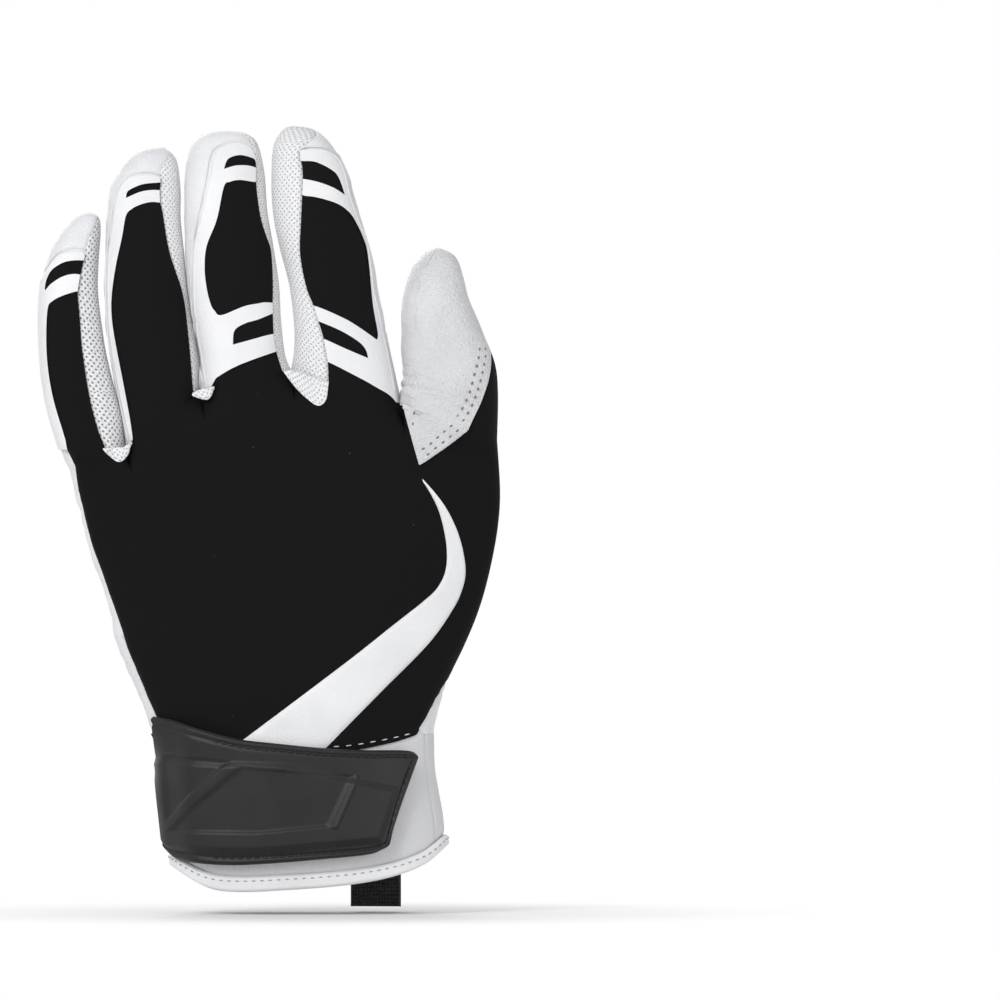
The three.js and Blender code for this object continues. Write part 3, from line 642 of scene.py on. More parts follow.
def mesh_material(name, pitch, hole, dark, light):
    """White spacer mesh with rows of round holes, set at 45 degrees, painted dark for the shade seen through them.
    """
    material, tree, shader, place, bump = start_material(name, 0.8, "UV")
    turned = add_node(tree, "Mapping", {"Vector": place})
    turned.inputs["Rotation"].default_value = (0, 0, math.radians(45))
    cells = add_node(tree, "TexVoronoi", {"Vector": turned.outputs[0]}, scale=1 / pitch, randomness=0.12)
    cells.voronoi_dimensions = "2D"
    edge = add_node(tree, "MapRange", {"Value": cells.outputs["Distance"]}, interpolation_type="SMOOTHSTEP",
                    from_min=hole * 0.7, from_max=hole * 1.3)
    fuzz = add_node(tree, "TexNoise", {"Vector": place}, scale=1500.0, detail=3.0)
    tone = add_node(tree, "Math", {0: edge.outputs[0], 1: fuzz.outputs["Fac"]}, operation="MULTIPLY")
    two_tone(tree, shader, tone.outputs[0], dark, light, 0.0, 0.55)
    raise_relief(tree, bump, tone.outputs[0], 0.0004, 0.7)
    return material


# Painted shade: the dark tone of each mesh stands for the shaded inside seen through its holes; the little
# finger's open mesh has larger holes painted darker
white_mesh = mesh_material("white_mesh", 0.00125, 0.2, (0.4, 0.4, 0.405), (0.86, 0.86, 0.87))
open_mesh = mesh_material("open_mesh", 0.00145, 0.23, (0.2, 0.2, 0.205), (0.84, 0.84, 0.85))
for pair, (top_px, low_px) in CROTCH_PIECES_PX.items():
    angle, height = hand_at(fill_between(top_px, low_px, 12, 36))
    piece = lay_sheet(
        f"{pair}_crotch_mesh", bridge_form, angle, height, crowned(12, 36, 0.0008, 0.0014, 4), 0.0015,
        white_mesh, 0.002,
    )
    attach(piece, "hand")

# Palm pads: foam under palm leather, sewn on with a stitched border. One lies under the four
# fingers, one at the root of the index finger and one on the web of the thumb.
PALM_ROOTS_PX = [[0, 455], [0.149, 440], [0.32, 382], [0.529, 368], [0.782, 335], [1, 335]]  # roots by share
PALM_SIDE_PX, THUMB_CROTCH_PX, PALM_WRIST_PX = 925, 680, 745  # two columns and a row of the palm view
THUMB_CROTCH_SHARE = 0.784
PALM_PADS_PX = {
    "palm_pad": ([[912, 448], [880, 442], [868, 430], [862, 400], [840, 387], [817, 379], [785, 365], [760, 372],
                  [745, 362], [715, 342], [688, 340]],
                 [[912, 489], [880, 484], [852, 470], [840, 450], [820, 430], [760, 405], [720, 390], [688, 379]],
                 130, 26),
    "index_root_pad": ([[758, 413], [720, 399], [682, 387]],
                       [[756, 424], [720, 457], [702, 446], [684, 418]], 44, 30),
}


def mix(a, b, t):
    return a + (b - a) * t


def palm_at(pixels):
    """The angle and height on the hand under pixels of the palm view in the photograph."""
    pixels = np.asarray(pixels, float)
    share = THUMB_CROTCH_SHARE * (PALM_SIDE_PX - pixels[..., 0]) / (PALM_SIDE_PX - THUMB_CROTCH_PX)
    share = np.clip(share, 0, 1)
    roots = np.interp(share, *np.transpose(PALM_ROOTS_PX))
    return angle_at(share, PALM), np.clip((PALM_WRIST_PX - pixels[..., 1]) / (PALM_WRIST_PX - roots), 0, 1)


pad_trails = {}
for name, (top_px, low_px, columns, rows) in PALM_PADS_PX.items():
    pad_trails[name] = palm_at(fill_between(low_px, top_px, rows, columns).transpose(1, 0, 2))
t, up = np.linspace(0, 1, 44), np.linspace(0, 1, 34)[:, None]
pad_trails["thumb_web_pad"] = (
    np.broadcast_to(angle_at(mix(0.8, 0.93, t), PALM), (34, 44)), mix(mix(0.72, 0.73, t), 0.82, up),
)
for name, (angle, height) in pad_trails.items():
    rows, columns = angle.shape
    piece = lay_sheet(
        f"{name}_leather", hand_form, angle, height, crowned(columns, rows, 0.0006, 0.003, 6), 0.001,
        palm_leather_finish,
    )
    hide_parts(name)
    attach(piece, "hand")

# Stitches: waxed white thread in short straight stitches, each sunk at both ends. They run along
# the borders of the pads and in double rows along the seams of the palm.
bpy.ops.object.select_all(action="DESELECT")
bpy.ops.mesh.primitive_uv_sphere_add(segments=6, ring_count=5, radius=1)
stitch = bpy.context.object
stitch_points = np.array([v.co for v in stitch.data.vertices])[:, [2, 0, 1]]
stitch_faces = [list(p.vertices) for p in stitch.data.polygons]
bpy.data.objects.remove(stitch)


def thread_material(name, colour):
    """Waxed thread, a little uneven in tone along its twist."""
    material, tree, shader, place, bump = start_material(name, 0.6)
    twist = add_node(tree, "TexNoise", {"Vector": place}, scale=3000.0, detail=2.0)
    two_tone(tree, shader, twist.outputs["Fac"], tuple(0.75 * c for c in colour), colour, 0.3, 0.7)
    raise_relief(tree, bump, twist.outputs["Fac"], 0.0001)
    return material


white_thread = thread_material("white_thread", (0.8, 0.8, 0.81))
# Painted shade: this thread is dark grey to stand for the shadowed needle holes along the thumb's seams, not for
# the thread's own colour
painted_shade_thread = thread_material("painted_shade_thread", (0.16, 0.16, 0.165))
hem_thread = thread_material("hem_thread", (0.4, 0.4, 0.41))
black_thread = thread_material("black_thread", (0.012, 0.012, 0.013))


def sew(name, form, angle, height, offset, material, pitch=0.0026, length=0.0017, width=0.0006):
    """A row of stitches along a line on a form, made as one mesh."""
    dense = np.linspace(0, 1, 600)
    steps = np.linspace(0, 1, len(angle))
    angle, height = np.interp(dense, steps, angle), np.interp(dense, steps, height)
    offset = np.interp(dense, np.linspace(0, 1, np.size(offset)), np.ravel(offset))
    line = form(angle, height, offset)
    lift = form(angle, height, offset + 0.001) - line
    run = run_along(line)
    count = max(2, int(run[-1] / pitch))
    at = (np.arange(count) + 0.5) / count * run[-1]

    def sample(values, where):
        return np.stack([np.interp(where, run, column) for column in values.T], axis=1)

    centre, up = sample(line, at), sample(lift, at)
    ahead = sample(line, at + 0.0005) - sample(line, at - 0.0005)
    ahead /= np.linalg.norm(ahead, axis=1)[:, None] + 1e-12
    side = np.cross(up, ahead)
    side /= np.linalg.norm(side, axis=1)[:, None] + 1e-12
    up = np.cross(ahead, side)
    shape = stitch_points * np.array([length / 2, width / 2, width / 2.4])
    points = (centre[:, None, :] + shape[None, :, :1] * ahead[:, None, :]
              + shape[None, :, 1:2] * side[:, None, :] + shape[None, :, 2:] * up[:, None, :])
    faces = [[v + k * len(shape) for v in face] for k in range(count) for face in stitch_faces]
    mesh = bpy.data.meshes.new(name)
    mesh.from_pydata(points.reshape(-1, 3).tolist(), [], faces)
    mesh.validate()
    piece = bpy.data.objects.new(name, mesh)
    bpy.context.scene.collection.objects.link(piece)
    clean_selection(piece)
    bpy.ops.object.shade_smooth()
    mesh.materials.append(material)
    return piece


def border_of(angle, height, inset):
    """The line that runs round a laid grid, a share of its width inside its edge."""
    rows, columns = angle.shape
    r, c = max(1, round(inset * rows)), max(1, round(inset * columns))
    last_r, last_c = rows - 1 - r, columns - 1 - c
    path = [(r, k) for k in range(c, last_c + 1)] + [(k, last_c) for k in range(r, last_r + 1)]
    path += [(last_r, k) for k in range(last_c, c, -1)] + [(k, c) for k in range(last_r, r, -1)]
    i, j = np.array(path).T
    return angle[i, j], height[i, j]


def roll_edge(name, form, angle, height, offset, radius, material, steps=120):
    """A rolled or piped edge along a line on a form: a closed tube of eight sides."""
    dense = np.linspace(0, 1, steps)
    given = np.linspace(0, 1, len(angle))
    line = form(np.interp(dense, given, angle), np.interp(dense, given, height), offset)
    ahead = np.gradient(line, axis=0)
    ahead /= np.linalg.norm(ahead, axis=1)[:, None]
    side = np.cross(ahead, np.array([0.0, 1.0, 0.0]))
    side /= np.linalg.norm(side, axis=1)[:, None]
    up = np.cross(side, ahead)
    around_tube = np.linspace(0, 2 * np.pi, 9)[:-1]
    ends = np.clip(np.minimum(dense, 1 - dense) * 40, 0.05, 1)[:, None, None] ** 0.5
    rings = line[:, None] + radius * ends * (np.cos(around_tube)[None, :, None] * side[:, None]
                                             + np.sin(around_tube)[None, :, None] * up[:, None])
    faces = [[r * 8 + k, r * 8 + (k + 1) % 8, (r + 1) * 8 + (k + 1) % 8, (r + 1) * 8 + k]
             for r in range(steps - 1) for k in range(8)]
    faces += [list(range(7, -1, -1)), [(steps - 1) * 8 + k for k in range(8)]]
    mesh = bpy.data.meshes.new(name)
    mesh.from_pydata(rings.reshape(-1, 3).tolist(), [], faces)
    piece = bpy.data.objects.new(name, mesh)
    bpy.context.scene.collection.objects.link(piece)
    clean_selection(piece)
    bpy.ops.object.mode_set(mode="EDIT")
    bpy.ops.mesh.select_all(action="SELECT")
    bpy.ops.mesh.normals_make_consistent(inside=False)
    bpy.ops.object.mode_set(mode="OBJECT")
    bpy.ops.object.shade_smooth_by_angle(angle=math.radians(50))
    mesh.materials.append(material)
    return piece


for name, (angle, height) in pad_trails.items():
    a, h = border_of(angle, height, 0.02 if name == "palm_pad" else 0.06)
    stitches = sew(f"{name}_stitches", hand_form, a, h, 0.0019, white_thread)
    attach(stitches, "hand")

THENAR_PX = [[672, 412], [690, 455], [706, 495], [715, 540], [718, 600], [706, 655], [672, 738]]
for row, shift in enumerate((0, 8)):
    angle, height = palm_at(curve_through(THENAR_PX, 20) + np.array([shift, 0]))
    stitches = sew(f"thenar_stitches_{row + 1}", hand_form, angle, height, 0.0002, white_thread)
    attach(stitches, "hand")

# two rows along the low edge of the thumb's point, and those of the small gusset at its root, in thread painted
# dark for the shade of their needle holes
POINT_STITCHES_PX = [
    [[457, 428], [450, 434], [442.7, 440.3], [435.5, 445.5], [428.8, 451.2], [421.5, 457.3]],
    [[451, 423.5], [444.5, 428.6], [437.9, 434.4], [431.8, 439.9], [425.2, 445.8], [416.7, 451.2]],
    [[412.2, 407.5], [411.3, 414], [410.4, 421], [410.2, 429]],
]
for row, line_px in enumerate(POINT_STITCHES_PX):
    angle, height = hand_at(curve_through(line_px, 20))
    stitches = sew(f"thumb_point_stitches_{row + 1}", bridge_form, angle, height, 0.0015, painted_shade_thread,
                   0.0027, 0.0011, 0.0006)
    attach(stitches, "hand")

BACK_SEAM_PX = {
    "heel_back_stitches": [[121, 630], [130, 650], [140, 674], [150, 698], [159, 718]],
    "wrist_back_stitches": [[330, 746], [350, 744.5], [372, 741], [395, 736.5], [411, 732.5]],
}
for name, line_px in BACK_SEAM_PX.items():
    angle, height = back_at(curve_through(line_px, 20))
    stitches = sew(name, wrist_form, angle, height, 0.0005, white_thread, 0.0034, 0.0019, 0.0004)
    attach(stitches, "hand")

# Vent: below the little finger the palm leather is cut away in a wedge that shows black knit. A
# rolled white edge runs round the cut.
VENT_TOP_PX = [[921, 521], [905, 533], [885, 548], [868, 556], [857, 563]]
VENT_POINT_PX = [854, 567]
VENT_LOW_PX = [[921, 572], [905, 575], [885, 577], [868, 573], [857, 566]]
angle, height = palm_at(fill_between(VENT_TOP_PX, VENT_LOW_PX, 14, 30))
vent = lay_sheet(
    "vent_knit", hand_form, angle, height, crowned(14, 30, 0.0005, 0.0008, 8), 0.0006, black_knit,
)
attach(vent, "hand")
angle, height = palm_at(curve_through(VENT_TOP_PX + [VENT_POINT_PX] + VENT_LOW_PX[::-1], 12))
vent_piping = roll_edge("vent_piping", hand_form, angle, height, 0.0008, 0.0006, white_leather)
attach(vent_piping, "hand")

# Wrist trim: a rolled piping over the palm's lower edge, and a folded leather placket that stands
# above the slit of the cuff on the little finger's side.
angle = np.radians(np.linspace(276, 322, 60))
piping = roll_edge(
    "palm_piping_roll", hand_form, angle, np.full(60, 0.013), 0.0009, 0.0008, white_leather,
)
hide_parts("palm_piping")
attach(piping, "hand")
up = np.linspace(0, 1, 50)[:, None]
placket_share = mix(mix(0.17, 0.11, up), mix(0.215, 0.15, up), np.linspace(0, 1, 18)[None, :])
placket_height = np.broadcast_to(mix(0.012, 0.24, up), placket_share.shape)
placket = lay_sheet(
    "wrist_placket_leather", hand_form, angle_at(placket_share, PALM), placket_height,
    crowned(18, 50, 0.0006, 0.0016, 4), 0.0008, palm_leather_finish,
)
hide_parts("wrist_placket")
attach(placket, "hand")
stitches = sew("wrist_placket_stitches", hand_form, angle_at(mix(0.2, 0.14, up[:, 0]), PALM), placket_height[:, 0],
               0.0015, white_thread)
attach(stitches, "hand")

# Digits: the leather of the palm wraps each finger round its outer side and over its tip. A knit
# panel lies on the back under a cut-out overlay of white leather, and mesh fills one side.
DIGIT_LEANS = [0.012, 0.014, 0.015, 0.014, 0.011]  # how far each tip leans to the palm
GUSSET_SIDES = [1, 1, 1, -1, 1]  # 1 where the mesh is on the thumb's side
PALM_REACHES = np.radians([32, 32, 32, 32, 26])  # how far it runs round onto the palm
SPLIT_SHARE = 0.23  # where the base piece of a digit ends and its tip piece begins
OVERLAY_RISE = 0.00085
OVERLAY_THICKNESS = 0.0005
DIGIT_LEFT_PX = [
    [[47, 400], [41, 345], [41, 295], [47, 260], [60, 234], [74, 217], [88, 211]],
    [[118, 400], [111, 365], [106, 330], [104, 290], [105, 250], [107, 203], [118, 172], [138, 151],
     [163, 146]],
    [[200, 360], [194, 330], [188, 300], [185, 255], [184, 205], [185, 168], [193, 142], [209, 131],
     [230, 129]],
    [[294, 350], [294, 325], [289, 285], [280, 250], [273, 215], [271, 180], [273, 145], [283, 128],
     [296, 125]],
    [[405, 375], [403, 340], [404, 300], [412, 272], [424, 255], [438, 249]],
]
DIGIT_RIGHT_PX = [
    [[117, 410], [108, 378], [100, 340], [97, 300], [98, 262], [100, 232], [98, 217], [88, 211]],
    [[197, 362], [190, 320], [184, 280], [182, 250], [180, 215], [180, 190], [176, 160], [163, 146]],
    [[285, 354], [281, 320], [279, 285], [273, 245], [267, 210], [264, 172], [257, 143], [246, 133],
     [230, 129]],
    [[394, 372], [386, 335], [379, 295], [371, 255], [359, 215], [349, 178], [333, 146], [314, 129],
     [296, 125]],
    [[497, 395], [494, 364], [482, 333], [469, 304], [463, 280], [455, 259], [438, 249]],
]
# where the mesh meets the knit on the back, from the tip down to the crotch
MESH_EDGE_PX = [
    [[96, 216], [90, 235], [86, 252], [82, 268], [78, 292], [80, 318], [82, 346], [85, 367], [89, 392],
     [94, 414], [100, 434], [106, 448]],
    [[166, 149], [163, 165], [160, 187], [160, 200], [163, 215], [167, 240], [171, 257], [176, 272],
     [181, 287], [185, 305], [188, 330], [191, 360], [193, 385], [194, 396]],
    [[246, 134], [254, 150], [256, 165], [256, 182], [260, 214], [266, 235], [271, 250], [273, 280],
     [273, 305], [274, 335], [277, 353], [283, 372]],
    [[312, 128], [307, 141], [300, 153], [302, 165], [303, 180], [302, 200], [301, 225], [300, 250],
     [303, 272], [308, 292], [314, 306], [319, 322], [324, 339], [328, 361], [329, 381]],
    [[483, 337], [488, 353], [488, 373], [484, 391], [476, 411], [467, 430]],
]
# how far the mesh swells towards the next finger, so that the two lie against each other
MESH_SWELLS = {"pinky": 0.0014, "ring": 0.0007, "middle": 0.0, "index": 0.0, "thumb": 0.0}
# the edge of the overlay away from the mesh, from its top corner down to the crotch
OVERLAY_EDGE_PX = {
    "pinky": [[83, 251], [76, 250], [69, 251], [59, 255], [51, 264], [44, 276], [36, 290], [30, 320],
              [30, 400], [50, 470]],
    "ring": [[160, 177], [154, 175], [143, 174], [129, 178], [120, 189], [116, 202], [113, 225], [109, 255],
             [108, 290], [110, 330], [115, 365], [122, 400], [131, 440], [138, 462]],
    "middle": [[254, 153], [250, 148], [243, 144], [234, 143], [224, 145], [215, 151], [211, 162], [209, 176],
               [204, 201], [197, 235], [194, 260], [194, 300], [197, 330], [202, 360], [206, 390], [208, 420]],
    "index": [[300, 150], [311, 149], [323, 150], [333, 154], [340, 161], [346, 176], [350, 194], [359, 221],
              [367, 240], [371, 264], [375, 293], [380, 315], [385, 339], [393, 379], [402, 430]],
}
# the cut-outs of the overlays, with a sharp corner where a point is given twice
WINDOWS_PX = {
    "pinky": {
        "slit": [[69, 261], [90, 262], [90, 275], [74, 274], [62, 277], [51, 284], [45, 290], [47, 278],
                 [54, 268]],
        "panel": [[48, 308], [53, 301], [60, 297], [68, 294], [77, 291.5], [90, 290], [110, 300], [150, 470],
                  [80, 490], [66, 440], [54, 400], [48, 366], [46.5, 335]],
    },
    "ring": {
        "slit": [[152, 183], [168, 183], [168, 190], [152, 190], [140, 192], [126, 198], [126, 198], [128, 191],
                 [140, 185]],
        "panel": [[132, 209], [141, 204.5], [152, 202], [163, 203], [185, 205], [205, 290], [215, 440], [215, 440],
                  [160, 500], [136, 480], [133, 436], [126, 395], [116, 344], [112, 317], [112, 295], [116, 266],
                  [122, 238], [126, 216]],
    },
    "middle": {
        "slit": [[239, 155], [250, 157], [255, 160], [256, 167.5], [256, 167.5], [248, 165.5], [236, 165.5],
                 [224, 169], [224, 169], [228, 159]],
        "panel": [[240, 180], [255, 182], [268, 182], [282, 248], [280, 297], [262, 303], [245, 306.5],
                  [222, 315.5], [215, 311], [211, 304], [207, 288], [205, 268], [207, 246], [217, 220], [224, 187],
                  [230, 182]],
        "knuckle": [[258, 320], [282, 312], [282, 330], [262, 337], [233.5, 345], [233.5, 345], [235, 331],
                    [245, 324]],
        "root": [[215, 381], [221, 375.5], [236, 367], [256, 359], [276, 352], [296, 345], [296, 345], [310, 440],
                 [200, 450], [208, 400]],
    },
    "index": {
        "slit": [[294, 161], [302, 161], [316, 162], [332, 170], [339, 178], [345, 195], [345, 195], [334, 188],
                 [318, 182], [303, 179], [294, 178]],
        "panel": [[294, 196], [305, 196], [319, 198], [338, 204], [350, 213], [357, 224], [363, 237], [368, 255],
                  [373, 304], [378, 333], [377, 340], [377, 340], [360, 328], [343, 318], [314, 306], [296, 306],
                  [290, 250]],
        "knuckle": [[310, 318], [320, 322], [341, 331], [359, 342], [366, 350], [368.5, 358.5], [368.5, 358.5],
                    [346, 349], [324, 339], [314, 336]],
        "root": [[316, 358], [328, 362], [350, 373], [374, 386], [396, 402], [412, 440], [300, 450], [310, 400]],
    },
}


def make_digit(digit):
    """The form of a digit between its two edges, closed at the tip and leaning to the palm."""
    left = along(from_photo([CROTCHES_PX[digit]] + DIGIT_LEFT_PX[digit]))
    right = along(from_photo([CROTCHES_PX[digit + 1]] + DIGIT_RIGHT_PX[digit]))
    root = DIGIT_DEPTHS[digit]
    base = (left(0) + right(0)) / 2
    length = left(1)[1] - base[1]
    half = (right(0)[0] - left(0)[0]) / 2

    def lean(height):
        return DIGIT_LEANS[digit] * (0.45 * height + 0.55 * height**2)

    def form(angle, height, offset):
        angle, height, offset = np.broadcast_arrays(angle, height, offset)
        across = signed_power(np.cos(angle), 2 / FULLNESS)
        start, end = left(height), right(height)
        breadth = end[..., 0] - start[..., 0]
        x = (start[..., 0] + end[..., 0]) / 2 + across * breadth * (half + offset) / (2 * half)
        row = (start[..., 1] + end[..., 1]) / 2 + across * (end[..., 1] - start[..., 1]) / 2
        z = row + (row - base[1]) * offset / length * height
        rounded = (1 - np.clip((height - 0.62) / 0.38, 0, 1) ** 2.6) ** 0.5
        depth = root * (1 - 0.12 * height) * rounded * (1 + offset / root)
        y = lean(height) - side_of(angle) * depth * np.abs(np.sin(angle)) ** (2 / FULLNESS)
        return np.stack([x, y, z], axis=-1)

    def at(pixels):
        """The angle and height on the back of the digit under pixels of the photograph."""
        target = from_photo(pixels)
        height = np.clip((target[..., 1] - base[1]) / length, 0, 1)
        for _ in range(60):
            start, end = left(height), right(height)
            reach = np.maximum(end[..., 0] - start[..., 0], 1e-5) / 2
            across = np.clip((target[..., 0] - (start[..., 0] + end[..., 0]) / 2) / reach, -1, 1)
            row = (start[..., 1] + end[..., 1]) / 2 + across * (end[..., 1] - start[..., 1]) / 2
            height = np.clip(height + 0.7 * (target[..., 1] - row) / length, 0, 1)
        return np.arccos(signed_power(across, FULLNESS / 2)), height

    return form, at, length


def follow(piece, digit, part):
    """Bakes the place of a digit's base or tip piece into its mesh. The base piece is the one at the knuckle and
    the tip piece the one at the middle joint, but no joint bends them.
    """
    name = DIGITS[digit]
    form, _, length = forms[name]
    if part == "base":
        a, b = from_photo(CROTCHES_PX[digit]), from_photo(CROTCHES_PX[digit + 1])
        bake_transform(piece)
    else:
        low, high = form(np.pi / 2, 0.34, 0.0), form(np.pi / 2, 0.58, 0.0)
        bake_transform(piece)


def prism(name, outline_px):
    """A column with the outline of pixels, from before the glove to inside it, to cut with."""
    outline = from_photo(outline_px)
    front, rear = -0.06, 0.03
    corners = np.column_stack([outline[:, 0], np.full(len(outline), front), outline[:, 1]])
    bpy.ops.object.select_all(action="DESELECT")
    bpy.ops.mesh.primitive_circle_add(vertices=len(outline), radius=1, fill_type="NGON")
    cutter = bpy.context.object
    cutter.name = name
    cutter.data.vertices.foreach_set("co", corners.ravel())
    cutter.data.update()
    bpy.ops.object.mode_set(mode="EDIT")
    bpy.ops.mesh.select_all(action="SELECT")
    bpy.ops.mesh.extrude_region_move(TRANSFORM_OT_translate={"value": (0, rear - front, 0)})
    bpy.ops.mesh.select_all(action="SELECT")
    bpy.ops.mesh.normals_make_consistent(inside=False)
    bpy.ops.object.mode_set(mode="OBJECT")
    return cutter


def carve(piece, operation, cutter):
    """Cuts a piece with a cutter, which is then removed."""
    apply_modifier(piece, "BOOLEAN", operation=operation, object=cutter, solver="EXACT")
    bpy.data.objects.remove(cutter)


def drop_crumbs(piece, fewest):
    """Deletes the islands of a cut sheet that have fewer corners than this."""
    count = len(piece.data.vertices)
    ends = np.empty(len(piece.data.edges) * 2, np.int32)
    piece.data.edges.foreach_get("vertices", ends)
    ends = ends.reshape(-1, 2)
    island = np.arange(count)
    while True:
        low = np.minimum(island[ends[:, 0]], island[ends[:, 1]])
        joined = island.copy()
        np.minimum.at(joined, ends[:, 0], low)
        np.minimum.at(joined, ends[:, 1], low)
        joined = joined[joined]
        if np.array_equal(joined, island):
            break
        island = joined
    crumbs = np.bincount(island, minlength=count)[island] < fewest
    if crumbs.any() and not crumbs.all():
        clean_selection(piece)
        bpy.ops.object.mode_set(mode="EDIT")
        bpy.ops.mesh.select_all(action="DESELECT")
        bpy.ops.object.mode_set(mode="OBJECT")
        piece.data.vertices.foreach_set("select", crumbs)
        bpy.ops.object.mode_set(mode="EDIT")
        bpy.ops.mesh.delete(type="VERT")
        bpy.ops.object.mode_set(mode="OBJECT")


def beside(line_px, shift):
    """A line of pixels moved to its right-hand side, seen along it with y upwards."""
    ahead = np.gradient(line_px, axis=0)
    length = np.linalg.norm(ahead, axis=1)[:, None]
    return line_px + shift * np.stack([-ahead[:, 1], ahead[:, 0]], axis=1) / length


def closed_curve(points, steps):
    """A smooth closed line that comes back to its first point."""
    points = np.asarray(points, float)
    return curve_through(np.vstack([points[-1:], points, points[:2]]), steps)[steps:-steps]


def overlay_outlines(digit):
    """The outline of a finger's overlay, and that of the knit, which is a little narrower."""
    edge_px = curve_through(OVERLAY_EDGE_PX[DIGITS[digit]], 5)
    seam_line = curve_through(MESH_EDGE_PX[digit][::-1], 4)
    seam_line = seam_line[seam_line[:, 1] > edge_px[0, 1] + 1]
    below_crotch = [seam_line[0, 0], 480]
    narrower = beside(edge_px, -2.0 * GUSSET_SIDES[digit])[3:]
    overlay_outline = np.vstack([edge_px, [below_crotch], seam_line])
    return overlay_outline, np.vstack([edge_px[:1], narrower, [below_crotch], seam_line])


def tucked(share, width, deep):
    """How far a sheet is pulled down into the seams at both ends of a share."""
    return -deep * (np.exp(-((share / width) ** 2)) + np.exp(-(((1 - share) / width) ** 2)))


def room_in_digit(form, angle, height):
    """The depth inside a digit, from the back to the palm."""
    gap = np.linalg.norm(form(np.pi / 2, height, 0.0) - form(1.5 * np.pi, height, 0.0), axis=-1)
    return np.broadcast_to(gap, np.broadcast_shapes(np.shape(angle), np.shape(height)))


